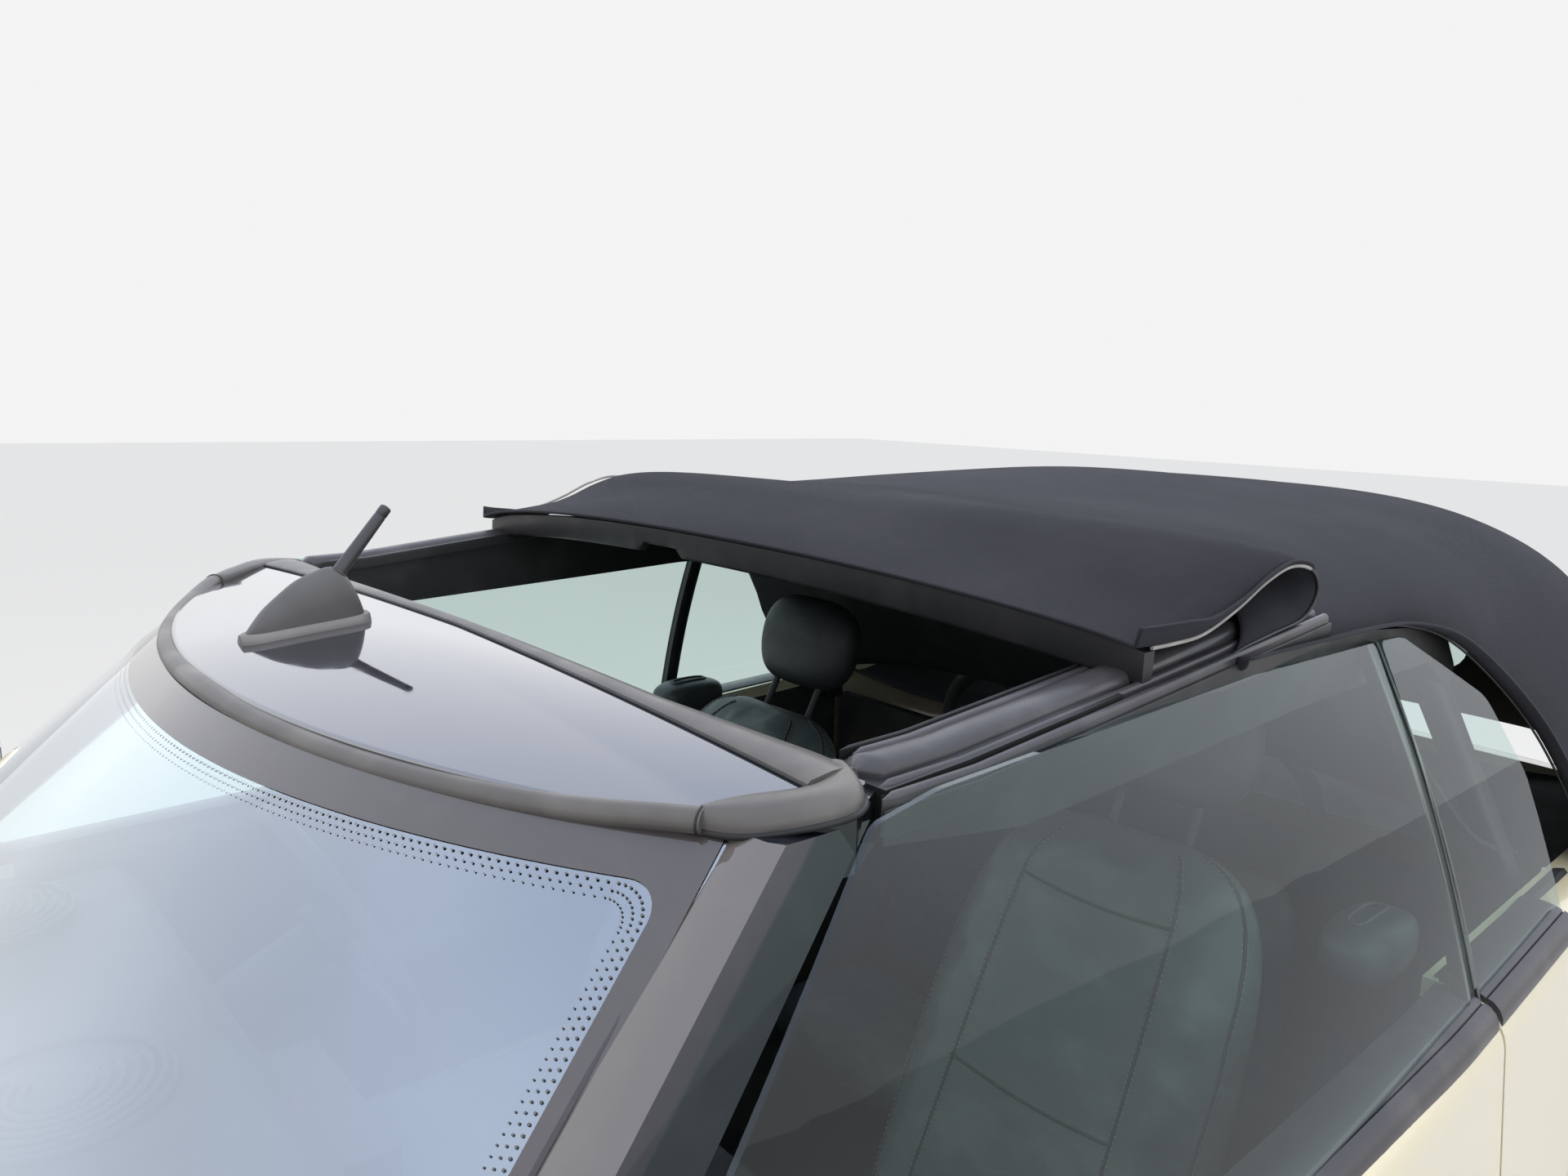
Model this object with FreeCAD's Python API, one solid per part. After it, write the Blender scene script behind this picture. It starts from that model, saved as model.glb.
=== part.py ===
# A small four-seat convertible car with its soft top slid back above the front seats.
# The pieces are built at real size in millimetres: +X forward, +Y to the car's left, +Z up,
# with the origin on the ground under the middle of the car's length and width.
import FreeCAD, Part
import math
import os
from FreeCAD import Vector

os.makedirs("parts", exist_ok=True)

# Overall sizes
length = 3700.0
body_width = 1683.0
widest_half = 812.0
wheelbase = 2467.0
front_overhang = 680.0
track_front = 1459.0
track_rear = 1467.0
front_axle_x = length / 2 - front_overhang
rear_axle_x = front_axle_x - wheelbase

# Wheels and their bearings
tyre_radius = 308.0
tyre_width = 195.0
rim_radius = 208.0
rim_width = 165.0
hub_bore = 30.0
hub_radius = 74.0
spoke_count = 8
disc_radius = 138.0
bolt_circle = 100.0
bolt_bore = 12.0
bolt_count = 4
shaft_clearance = 0.06
face_clearance = 0.3

# Wheel openings
arch_radius = 374.0
arch_depth_y = 442.0
liner_thick = 6.0
trim_inner_radius = 350.0
trim_reach = 24.0

# Panels
skin = 24.0
gap = 6.0
nose_gap = 12.0
hinge_gap = 9.0
seat_gap = 0.3
door_front_x = 605.0
door_rear_x = -690.0
door_bottom_z = 300.0
door_inner_y = 715.0
hinge_inset_x = 70.0
hinge_inset_y = 42.0
floor_z = 185.0
floor_thickness = 55.0
firewall_x = 612.0
wall_thick = 22.0
cabin_rear_x = -1120.0
cabin_half = 692.0
bumper_split_z = 560.0
bumper_thick = 22.0

# Greenhouse, measured from the photograph
header_rear_x = 87.0
header_corner_x = 124.0
header_corner_half = 613.0
header_end_x = 189.0
header_end_half = 581.0
header_bow = 176.0
header_front_z = 1316.0
header_rear_mid_z = 1332.0
header_slope = 0.079
header_bend = 0.00062
header_thick = 40.0
cover_thick = 8.0
screen_base_x = 580.0
screen_base_half = 700.0
screen_base_bow = 235.0
screen_base_z = 948.0
screen_thick = 7.0
glass_thick = 5.0
rail_inner_y = 540.0
rail_outer_y = 602.0
canopy_thick = 14.0
canopy_front_x = -195.0
canopy_rear_x = -1690.0

# Header surface: x and how far its sides, 700 out, lie below its middle
HEADER_CAMBER = ((40, 9.8), (87, 9.8), (124, 17.3), (189, 40.7), (250, 49.6), (310, 57.7), (365, 64.8),
                 (420, 70.0))

# Painted body, one row a cross-section. The columns are x, then the half width and the height
# of the bottom edge, of the widest line and of the shoulder, and last the height of the crown.
BODY_SECTIONS = (
    (-1822, 560, 350, 620, 560, 560, 800, 822),
    (-1805, 600, 325, 672, 555, 612, 862, 885),
    (-1750, 660, 290, 742, 555, 668, 945, 968),
    (-1600, 705, 245, 795, 560, 722, 992, 1012),
    (-1297, 730, 215, 812, 560, 752, 997, 1012),
    (-690, 738, 185, 812, 560, 777, 970, 984),
    (0, 738, 185, 810, 560, 790, 942, 958),
    (600, 735, 185, 812, 555, 780, 922, 968),
    (1170, 722, 210, 812, 545, 738, 872, 930),
    (1480, 690, 235, 780, 525, 676, 820, 872),
    (1640, 645, 255, 722, 510, 622, 775, 822),
    (1750, 575, 280, 648, 500, 545, 715, 752),
    (1805, 480, 320, 550, 490, 450, 640, 668),
)
bottom_round = 40.0
shoulder_round = 50.0
widest_reach = 110.0
crown_share = 0.8

# Bumper bands. The columns are height, furthest x, corner x, corner half width, back half width.
FRONT_BUMPER = (
    (205, 1800, 1640, 640, 745),
    (300, 1842, 1700, 712, 792),
    (420, 1850, 1712, 730, 812),
    (520, 1838, 1700, 722, 808),
    (556, 1824, 1688, 710, 800),
)
REAR_BUMPER = (
    (215, -1800, -1690, 660, 752),
    (320, -1844, -1728, 722, 798),
    (430, -1850, -1740, 734, 812),
    (520, -1846, -1735, 732, 808),
    (556, -1838, -1727, 726, 802),
)
front_band_x = 1385.0
rear_band_x = -1520.0
band_nose_reach = 480.0
band_corner_reach = 120.0

# Soft top, one row a cross-section. The columns are x, then the half width and height of its
# lower edge and of its shoulder, and last the height of its middle.
CANOPY_SECTIONS = (
    (-195, 744, 960, 612, 1366, 1420),
    (-430, 744, 965, 622, 1374, 1450),
    (-800, 748, 980, 628, 1385, 1462),
    (-1150, 735, 990, 626, 1392, 1466),
    (-1400, 715, 1004, 600, 1362, 1446),
    (-1560, 690, 1014, 565, 1258, 1330),
    (-1690, 640, 1014, 540, 1060, 1075),
)
# Side window of the soft top in the side view, as x and z
CANOPY_SIDE = (
    (0, 1371), (-560, 1376), (-720, 1370), (-850, 1335), (-966, 1270),
    (-1060, 1190), (-1120, 1100), (-1160, 990), (-1160, 900), (0, 900),
)

# Side glass, one row a cross-section. The columns are x, belt half width, belt height,
# top half width and top height.
GLASS_SECTIONS = (
    (620, 775, 900, 620, 1360),
    (-680, 762, 930, 606, 1360),
    (-1250, 745, 940, 598, 1360),
)
glass_bulge = 12.0
belt_clear_z = 984.0
# Door glass and quarter glass in the side view, as x and z
DOOR_GLASS = ((520, 900), (505, 985), (128, 1322), (60, 1331), (-389, 1344), (-660, 1341), (-672, 900))
QUARTER_GLASS = ((-684, 900), (-676, 1341), (-735, 1339), (-915, 1250), (-975, 1150), (-1010, 900))


def at(x, y, z):
    return Vector(x, y, z)


def block(x0, x1, y0, y1, z0, z1):
    """A box from its low corner to its high corner."""
    return Part.makeBox(x1 - x0, y1 - y0, z1 - z0, at(x0, y0, z0))


def rod(radius, start, end):
    """A round bar between two points."""
    way = end.sub(start)
    return Part.makeCylinder(radius, way.Length, start, way)


def mirrored(shape):
    """The same piece on the car's other side."""
    return shape.mirror(at(0, 0, 0), at(0, 1, 0))


def both_sides(shape):
    return [shape, mirrored(shape)]


def whole_of(left_half):
    """A piece that crosses the middle of the car, from its left half."""
    return fused(both_sides(left_half))


def reach_radius(points, i, reach):
    """The radius whose corner arc starts that far from corner i."""
    back = points[i - 1].sub(points[i])
    ahead = points[(i + 1) % len(points)].sub(points[i])
    return reach * math.tan(back.getAngle(ahead) / 2)


def rounded_wire(points, radii):
    """A closed outline of straight runs whose corners are arcs of the given radii."""
    count = len(points)
    entry, middle, leave = [], [], []
    for i in range(count):
        corner = points[i]
        back = points[i - 1].sub(corner)
        ahead = points[(i + 1) % count].sub(corner)
        back.normalize()
        ahead.normalize()
        half = math.acos(max(-1.0, min(1.0, back.dot(ahead)))) / 2
        reach = radii[i] / math.tan(half)
        bisector = back.add(ahead)
        bisector.normalize()
        entry.append(corner.add(back.multiply(reach)))
        leave.append(corner.add(ahead.multiply(reach)))
        middle.append(corner.add(bisector.multiply(radii[i] / math.sin(half) - radii[i])))
    edges = []
    for i in range(count):
        if radii[i] > 0:
            edges.append(Part.Arc(entry[i], middle[i], leave[i]).toShape())
        edges.append(Part.LineSegment(leave[i], entry[(i + 1) % count]).toShape())
    return Part.Wire(edges)


def prism(points, radii, way):
    """A solid from a flat outline pushed along a vector."""
    return Part.Face(rounded_wire(points, radii)).extrude(way)


def side_prism(outline, radius, y0, y1):
    """An outline given in the side view as (x, z), pushed across the car."""
    points = [at(x, y0, z) for x, z in outline]
    return prism(points, [radius] * len(points), at(0, y1 - y0, 0))


def front_prism(y0, y1, z0, z1, radius, x0, x1):
    """A rounded rectangle seen from the front, pushed along the car."""
    points = [at(x0, y0, z0), at(x0, y1, z0), at(x0, y1, z1), at(x0, y0, z1)]
    return prism(points, [radius] * 4, at(x1 - x0, 0, 0))


def arc_between(start, middle, end):
    return Part.Arc(start, middle, end).toShape()


def line_between(start, end):
    return Part.LineSegment(start, end).toShape()


def fused(shapes):
    whole = shapes[0].multiFuse(shapes[1:]) if len(shapes) > 1 else shapes[0]
    return whole.removeSplitter()


def without(shape, tools):
    return shape.cut(Part.makeCompound(tools))


def largest(shape):
    return max(shape.Solids, key=lambda solid: solid.Volume)


def solids_of(shape):
    """Only the solids, without slivers left by a cut."""
    kept = [solid for solid in shape.Solids if solid.Volume > 1000.0]
    return Part.makeCompound(kept) if len(kept) > 1 else kept[0]


def save(name, shape):
    body = solids_of(shape)
    body.exportStep("parts/" + name + ".step")
    box = body.BoundBox
    note = "" if all(solid.isValid() for solid in body.Solids) else "INVALID"
    print(
        name, note, len(body.Solids), len(body.Faces), "%.4f m3" % (body.Volume / 1e9),
        "x %.0f %.0f  y %.0f %.0f  z %.0f %.0f" % (box.XMin, box.XMax, box.YMin, box.YMax, box.ZMin,
                                                   box.ZMax),
    )


# Painted body form
def hull_section(row, inset):
    """One cross-section of the painted body, drawn in by inset on every side."""
    x, w_bottom, z_bottom, w_wide, z_wide, w_shoulder, z_shoulder, z_crown = row
    half = (
        at(x, w_bottom - inset, z_bottom + inset),
        at(x, w_wide - inset, z_wide),
        at(x, w_shoulder - inset, z_shoulder - inset),
    )
    points = list(half) + [at(x, 0, z_crown - inset)] + [at(x, -p.y, p.z) for p in reversed(half)]
    widest = reach_radius(points, 1, widest_reach)
    crown = reach_radius(points, 3, crown_share * (w_shoulder - shoulder_round))
    return rounded_wire(points,
                        [bottom_round, widest, shoulder_round, crown, shoulder_round, widest, bottom_round])


def hull(inset):
    """The whole lower body as one closed form, later cut into its panels."""
    rows = [list(row) for row in BODY_SECTIONS]
    rows[0][0] += inset
    rows[-1][0] -= inset
    return Part.makeLoft([hull_section(row, inset) for row in rows], True, False)


outer_hull = hull(0.0)
panel_shell = outer_hull.cut(hull(skin))

# Wheel openings on the left side, front and rear
left_arches = [Part.makeCylinder(arch_radius, 900.0 - arch_depth_y, at(axle_x, arch_depth_y, tyre_radius),
                                 at(0, 1, 0))
               for axle_x in (front_axle_x, rear_axle_x)]

# Door outline, its hinge line and the round path that its front end keeps inside
hinge_x = door_front_x - hinge_inset_x
hinge_y = widest_half - hinge_inset_y
door_swing_radius = math.hypot(hinge_inset_x, hinge_inset_y)


def door_region(grow):
    outline = (
        (door_front_x + grow, door_bottom_z - grow),
        (door_front_x + grow, 1150.0),
        (door_rear_x - grow, 1150.0),
        (door_rear_x - grow, door_bottom_z - grow),
    )
    points = [at(x, door_inner_y - grow, z) for x, z in outline]
    return prism(points, [60.0, 0.0, 0.0, 120.0], at(0, 900.0 - door_inner_y, 0))


def hinge_sweep(grow):
    bottom = door_bottom_z - gap
    return Part.makeCylinder(door_swing_radius + grow, 900.0, at(hinge_x, hinge_y, bottom), at(0, 0, 1))


door_space = fused([door_region(gap), hinge_sweep(gap)])

# Hinge pins: the doors turn about upright pins, the bonnet and the boot lid about level ones
pin_radius = 6.0
pin_long = 70.0
arm_thick = 20.0
pocket_gap = 8.0
hinge_heights = (430.0, 770.0)
post_rear_x = 440.0
post_inner_y = 640.0
sill_outer_y = 712.0
bonnet_hinge_x = 690.0
bonnet_hinge_z = 926.0
bonnet_pin_start = 636.0
lid_hinge_x = -1810.0
lid_hinge_z = 608.0
lid_pin_start = 462.0
plate_hole_z = 700.0
plate_hole_half = 90.0
plate_hole_radius = 3.0


def door_hinge(z):
    """An arm from the front post and the pin at its end, left side."""
    arm = block(hinge_x - pin_radius, hinge_x + pin_radius, 670.0, hinge_y, z - arm_thick / 2, z
                + arm_thick / 2)
    pin = rod(pin_radius, at(hinge_x, hinge_y, z - pin_long / 2), at(hinge_x, hinge_y, z + pin_long / 2))
    eye = rod(pin_radius + 5.0, at(hinge_x, hinge_y, z - arm_thick / 2),
              at(hinge_x, hinge_y, z + arm_thick / 2))
    return [arm, pin, eye]


def hinge_pocket(z):
    """The room that the door leaves for the arm, and the bore that the pin turns in."""
    half = arm_thick / 2 + pocket_gap
    disc = Part.makeCylinder(door_swing_radius + 10.0, 2 * half, at(hinge_x, hinge_y, z - half), at(0, 0, 1))
    disc = disc.common(block(hinge_x - 200.0, hinge_x + 200.0, 600.0, hinge_y + pin_radius + 5.0
                             + pocket_gap, 0.0, 1200.0))
    bore = rod(pin_radius + shaft_clearance, at(hinge_x, hinge_y, z - pin_long / 2 - 2.0),
               at(hinge_x, hinge_y, z + pin_long / 2 + 2.0))
    return [disc, bore]


def plate_hole_rods(z, half):
    """Two small holes through the boot lid that hold a number plate."""
    return both_sides(rod(plate_hole_radius, at(-1900.0, half, z), at(-1700.0, half, z)))


def level_pins(x, z, start_y, end_y, radius):
    return both_sides(rod(radius, at(x, start_y, z), at(x, end_y, z)))


# Bonnet outline in the plan
bonnet_rear_x = 668.0
bonnet_rear_bow = 205.0
bonnet_rear_half = 672.0
bonnet_front_x = 1752.0
bonnet_front_side_x = 1625.0
bonnet_front_half = 470.0
bonnet_side_bulge = 26.0
bonnet_low_z = 690.0


def bonnet_region(grow, front_grow, rear_grow):
    """The bonnet's outline as a tall prism, grown by the shut gaps."""
    z = bonnet_low_z - grow
    rear_mid = at(bonnet_rear_x + bonnet_rear_bow - rear_grow, 0, z)
    rear_left = at(bonnet_rear_x - rear_grow, bonnet_rear_half + grow, z)
    rear_right = at(bonnet_rear_x - rear_grow, -bonnet_rear_half - grow, z)
    front_left = at(bonnet_front_side_x + front_grow, bonnet_front_half + grow, z)
    front_right = at(bonnet_front_side_x + front_grow, -bonnet_front_half - grow, z)
    front_mid = at(bonnet_front_x + front_grow, 0, z)
    mid_x = (bonnet_rear_x + bonnet_front_side_x) / 2
    mid_y = (bonnet_rear_half + bonnet_front_half) / 2 + grow + bonnet_side_bulge
    edges = [
        arc_between(rear_left, rear_mid, rear_right),
        arc_between(rear_right, at(mid_x, -mid_y, z), front_right),
        arc_between(front_right, front_mid, front_left),
        arc_between(front_left, at(mid_x, mid_y, z), rear_left),
    ]
    return Part.Face(Part.Wire(edges)).extrude(at(0, 0, 500.0))


bonnet_space = bonnet_region(gap, nose_gap, hinge_gap)


def cabin_region(grow, z0, z1):
    """The plan of the open cabin, from the screen's curved foot back to the rear wall."""
    half = cabin_half + grow
    front_left = at(screen_base_x + grow, half, z0)
    front_right = at(screen_base_x + grow, -half, z0)
    rear_left = at(cabin_rear_x - 500.0, half, z0)
    rear_right = at(cabin_rear_x - 500.0, -half, z0)
    edges = [
        arc_between(front_right, at(screen_base_x + screen_base_bow + grow, 0, z0), front_left),
        line_between(front_left, rear_left),
        line_between(rear_left, rear_right),
        line_between(rear_right, front_right),
    ]
    return Part.Face(Part.Wire(edges)).extrude(at(0, 0, z1 - z0))


# Lamps and the openings that hold them
headlamp_y = 545.0
headlamp_z = 655.0
headlamp_radius = 92.0
headlamp_proud = 8.0
headlamp_depth = 60.0
tail_lamp_low = 585.0
tail_lamp_high = 820.0
tail_lamp_inner = 560.0
tail_lamp_outer = 700.0
lamp_seam = seat_gap


def headlamp_space(grow):
    return Part.makeCylinder(headlamp_radius + grow, 500.0, at(1500.0, headlamp_y, headlamp_z), at(1, 0, 0))


def tail_lamp_space(grow):
    return front_prism(
        tail_lamp_inner - grow, tail_lamp_outer + grow, tail_lamp_low - grow, tail_lamp_high + grow,
        45.0, -2000.0, -1690.0,
    )


lamp_skin = hull(-headlamp_proud)
headlamp = lamp_skin.common(headlamp_space(0.0)).cut(hull(headlamp_depth))
save("headlamps", Part.makeCompound(both_sides(largest(headlamp))))
tail_lamp = lamp_skin.common(tail_lamp_space(0.0)).cut(hull(skin))
save("tail_lamps", Part.makeCompound(both_sides(largest(tail_lamp))))

# Grille openings, the upper one in the nose and the lower one in the bumper. The columns are
# the half width, the low and high edges and the corner radius.
UPPER_GRILLE = (370.0, 576.0, 636.0, 24.0)
LOWER_GRILLE = (400.0, 262.0, 408.0, 50.0)
grille_inset = 6.0
grille_deep = 12.0
grille_bar = 9.0
grille_pitch = 20.0


def grille_space(grow, row):
    half, z0, z1, radius = row
    return front_prism(-half - grow, half + grow, z0 - grow, z1 + grow, radius, 1600.0, 1900.0)


def grille_in(sheet, row):
    """Level bars in a frame, cut from a sheet that follows the skin round the opening."""
    half, z0, z1, radius = row
    count = int((z1 - z0) // grille_pitch)
    pitch = (z1 - z0) / count
    slots = []
    for i in range(count):
        low = z0 + i * pitch + grille_bar / 2
        slots.append(block(1500.0, 1900.0, -half + radius, half - radius, low, low + pitch - grille_bar))
    return largest(without(sheet.common(grille_space(-seat_gap, row)), slots))


# Front wings with the nose, the cowl strip and the bonnet
front_skin = panel_shell.common(block(firewall_x - 200.0, 1900.0, 0.0, 900.0, 200.0, 1100.0))
nose_cuts = [
    bonnet_space,
    cabin_region(0.0, 300.0, 1200.0),
    block(1250.0, 1900.0, -900.0, 900.0, 100.0, bumper_split_z + 2.0),
    block(300.0, 1900.0, -700.0, 700.0, 100.0, 400.0),
    headlamp_space(lamp_seam),
    grille_space(0.0, UPPER_GRILLE),
    left_arches[0],
    door_space,
]
front_skin = without(front_skin, nose_cuts)
cowl_zone = block(0.0, 900.0, 0.0, bonnet_rear_half, 800.0, 1100.0)
cowl_corner = Part.makeCylinder(4.0, 300.0, at(685.0, 637.5, 750.0), at(0, 0, 1))
cowl_half = largest(front_skin.common(cowl_zone)).cut(cowl_corner)
wing_half = largest(front_skin.cut(cowl_half).common(block(firewall_x - 4.0, 1900.0, 0.0, 900.0, 200.0,
                                                           1100.0)))
cowl = whole_of(cowl_half)
wings = whole_of(wing_half)
bonnet_pins = level_pins(bonnet_hinge_x, bonnet_hinge_z, bonnet_pin_start, 700.0, pin_radius)
save("front_wings", fused([wings] + bonnet_pins))
save("cowl_panel", cowl)
bonnet_half = panel_shell.common(block(600.0, 1900.0, 0.0, 900.0, 600.0,
                                       1100.0)).common(bonnet_region(0.0, 0.0, 0.0))
bonnet_bore = rod(pin_radius + shaft_clearance, at(bonnet_hinge_x, bonnet_pin_start - 2.0, bonnet_hinge_z),
                  at(bonnet_hinge_x, 700.0, bonnet_hinge_z))
save("bonnet", whole_of(without(bonnet_half, [headlamp_space(gap), bonnet_bore])))

# Rear quarters with the panel round the boot lid
lid_half = 520.0
lid_bottom_z = 600.0
lid_top_z = 950.0
lid_depth_x = -1660.0
lid_thick = 55.0
lid_swing_radius = 20.0
lid_swing_half = 470.0
lid_corner_radius = 25.0
lid_corner_start = 465.0
lid_corner_end = 514.0


def lid_region(grow):
    return front_prism(
        -lid_half - grow, lid_half + grow, lid_bottom_z - grow, lid_top_z + grow,
        60.0, -2000.0, lid_depth_x + grow,
    )


quarter_half = panel_shell.common(block(-1900.0, door_rear_x - gap, 0.0, 900.0, 200.0, 1100.0))
quarter_cuts = [
    block(cabin_rear_x - 480.0, 0.0, -cabin_half, cabin_half, 300.0, 1200.0),
    block(-1900.0, -1420.0, -900.0, 900.0, 100.0, bumper_split_z + 2.0),
    block(-1900.0, 0.0, -700.0, 700.0, 100.0, 400.0),
    lid_region(gap),
    left_arches[1],
    door_space,
    tail_lamp_space(lamp_seam),
]
quarter_half = largest(without(quarter_half, quarter_cuts))
quarters = whole_of(quarter_half)
lid_swing = [rod(lid_swing_radius, at(lid_hinge_x, -lid_swing_half, lid_hinge_z),
                 at(lid_hinge_x, lid_swing_half, lid_hinge_z))]
lid_swing += level_pins(lid_hinge_x, lid_hinge_z, lid_corner_start, lid_corner_end, lid_corner_radius)
quarters = largest(without(quarters, lid_swing))
lid_pins = level_pins(lid_hinge_x, lid_hinge_z, lid_pin_start, lid_corner_end + 14.0, pin_radius)
lid_bores = level_pins(lid_hinge_x, lid_hinge_z, lid_pin_start - 2.0, 600.0, pin_radius + shaft_clearance)
save("rear_quarters", fused([quarters] + lid_pins))
boot_lid = outer_hull.common(lid_region(0.0)).cut(hull(lid_thick))
plate_holes = plate_hole_rods(plate_hole_z, plate_hole_half)
save("boot_lid", without(boot_lid, lid_bores + plate_holes))

# Doors, as thick as the real door
door_block = outer_hull.common(door_region(0.0))
front_end = block(hinge_x, 900.0, 600.0, 900.0, 200.0, 1200.0).cut(hinge_sweep(0.0))
door_left = largest(without(door_block.cut(front_end),
                            [tool for z in hinge_heights for tool in hinge_pocket(z)]))
save("door_left", door_left)
save("door_right", mirrored(door_left))


# Bumpers
def band_outline(row, inset, z, back_x):
    height, furthest_x, corner_x, corner_half, back_half = row
    way = 1.0 if furthest_x > 0 else -1.0
    reach_share = band_nose_reach / (2 * corner_half)
    tip_x = corner_x + (furthest_x - corner_x) / (1 - reach_share)
    points = [
        at(back_x, -back_half + inset, z),
        at(corner_x - way * inset, -corner_half + inset, z),
        at(tip_x - way * inset, 0, z),
        at(corner_x - way * inset, corner_half - inset, z),
        at(back_x, back_half - inset, z),
    ]
    corner = reach_radius(points, 1, band_corner_reach)
    nose = reach_radius(points, 2, band_nose_reach)
    return rounded_wire(points, [0.0, corner, nose, corner, 0.0])


def band_form(rows, inset, back_x, overrun):
    """The filled form of a bumper, drawn in by inset, running past its own ends by overrun."""
    heights = [rows[0][0] - overrun] + [row[0] for row in rows[1:-1]] + [rows[-1][0] + overrun]
    return Part.makeLoft([band_outline(row, inset, z, back_x) for row, z in zip(rows, heights)], True, False)


def bumper_band(rows, back_x, outer_inset, inner_inset):
    return band_form(rows, outer_inset, back_x, 0.0).cut(band_form(rows, inner_inset, back_x, 30.0))


arch_cuts = [tool for arch in left_arches for tool in both_sides(arch)]
front_bumper = without(bumper_band(FRONT_BUMPER, front_band_x, 0.0, bumper_thick), arch_cuts[:2])
front_bumper = front_bumper.cut(grille_space(0.0, LOWER_GRILLE))
tow_eye_y = 350.0
tow_eye_z = 475.0
tow_socket_radius = 10.0
tow_cover_half = 30.0
tow_hole = front_prism(-tow_eye_y - tow_cover_half, -tow_eye_y + tow_cover_half,
                       tow_eye_z - tow_cover_half, tow_eye_z + tow_cover_half, 8.0, 1650.0, 1950.0)
save("front_bumper", front_bumper.cut(tow_hole))
upper_sheet = hull(grille_inset).cut(hull(grille_inset + grille_deep))
lower_sheet = bumper_band(FRONT_BUMPER, front_band_x, grille_inset, grille_inset + grille_deep)
save("grille", Part.makeCompound([grille_in(upper_sheet, UPPER_GRILLE),
                                  grille_in(lower_sheet, LOWER_GRILLE)]))

pipe_y = 62.0
pipe_z = 250.0
pipe_radius = 34.0
pipe_wall = 2.5
pipe_holes = both_sides(Part.makeCylinder(pipe_radius + 8.0, 500.0, at(-2000.0, pipe_y, pipe_z), at(1, 0, 0)))
rear_bumper = without(bumper_band(REAR_BUMPER, rear_band_x, 0.0, bumper_thick), arch_cuts[2:] + pipe_holes)
save("rear_bumper", rear_bumper)


# Dark trim round the wheel openings and along the sills
def arch_trim(axle_x):
    """A sloping lip turned about the axle, upper half only, outside the painted skin."""
    outline = (
        (trim_inner_radius, 782.0), (arch_radius - 1.0, 782.0), (arch_radius + trim_reach, 798.0),
        (arch_radius + trim_reach - 6.0, 815.0), (trim_inner_radius + 8.0, body_width / 2),
        (trim_inner_radius, body_width / 2),
    )
    points = [at(axle_x + r, y, tyre_radius) for r, y in outline]
    ring = prism_turned(points, at(axle_x, 0, tyre_radius))
    return ring.cut(block(axle_x - 500.0, axle_x + 500.0, 700.0, 900.0, -200.0, 230.0))


def prism_turned(points, centre):
    """A flat outline turned once about the line across the car through centre."""
    edges = [line_between(points[i - 1], points[i]) for i in range(len(points))]
    return Part.Face(Part.Wire(edges)).revolve(centre, at(0, 1, 0), 360)


trims = []
bumper_forms = (band_form(FRONT_BUMPER, 0.0, front_band_x, 30.0),
                band_form(REAR_BUMPER, 0.0, rear_band_x, 30.0))
for axle_x, bumper_form in zip((front_axle_x, rear_axle_x), bumper_forms):
    left = arch_trim(axle_x)
    near = block(axle_x - 450.0, axle_x + 450.0, 700.0, 900.0, 150.0, 800.0)
    left = largest(without(left, [outer_hull.common(near), bumper_form]))
    trims += both_sides(left)
sill_outline = ((650, 192), (812, 205), (826, 250), (815, 286), (650, 286))
sill_ends = (rear_axle_x + arch_radius + trim_reach, front_axle_x - arch_radius - trim_reach)
sill_points = [at(sill_ends[0] + 1.0, y, z) for y, z in sill_outline]
sill = prism(sill_points, [0.0, 10.0, 20.0, 10.0, 0.0], at(sill_ends[1] - sill_ends[0] - 2.0, 0, 0))
sill = largest(sill.cut(outer_hull))
save("arch_trims", Part.makeCompound(trims))
save("sill_trims", Part.makeCompound(both_sides(sill)))

# Steering axis of the left front wheel, used by the strut, the liners and the joints
king_low = at(front_axle_x, 655.0, 195.0)
king_high = at(front_axle_x, 520.0, 800.0)
king_way = king_high.sub(king_low)


def king_at(z):
    """The point of the steering axis at a height."""
    share = (z - king_low.z) / king_way.z
    return king_low.add(at(king_way.x, king_way.y, king_way.z).multiply(share))


# Inner liners of the wheel openings
spring_radius = 55.0
strut_hole_radius = 75.0
liners = []
for axle_x in (front_axle_x, rear_axle_x):
    centre = at(axle_x, arch_depth_y, tyre_radius)
    drum = Part.makeCylinder(arch_radius, 780.0 - arch_depth_y, centre, at(0, 1, 0))
    hollow = Part.makeCylinder(arch_radius - liner_thick, 900.0, centre.add(at(0, liner_thick, 0)),
                               at(0, 1, 0))
    liner = drum.cut(hollow)
    liner = liner.cut(block(axle_x - 500.0, axle_x + 500.0, 300.0, 900.0, -200.0, floor_z))
    liner = liner.cut(Part.makeCylinder(200.0, 60.0, at(axle_x, arch_depth_y - 20.0, tyre_radius),
                                        at(0, 1, 0)))
    if axle_x == front_axle_x:
        liner = liner.cut(rod(strut_hole_radius, king_at(560.0), king_at(760.0)))
    liners += both_sides(largest(liner.common(hull(2.0))))
save("wheel_liners", Part.makeCompound(liners))

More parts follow.
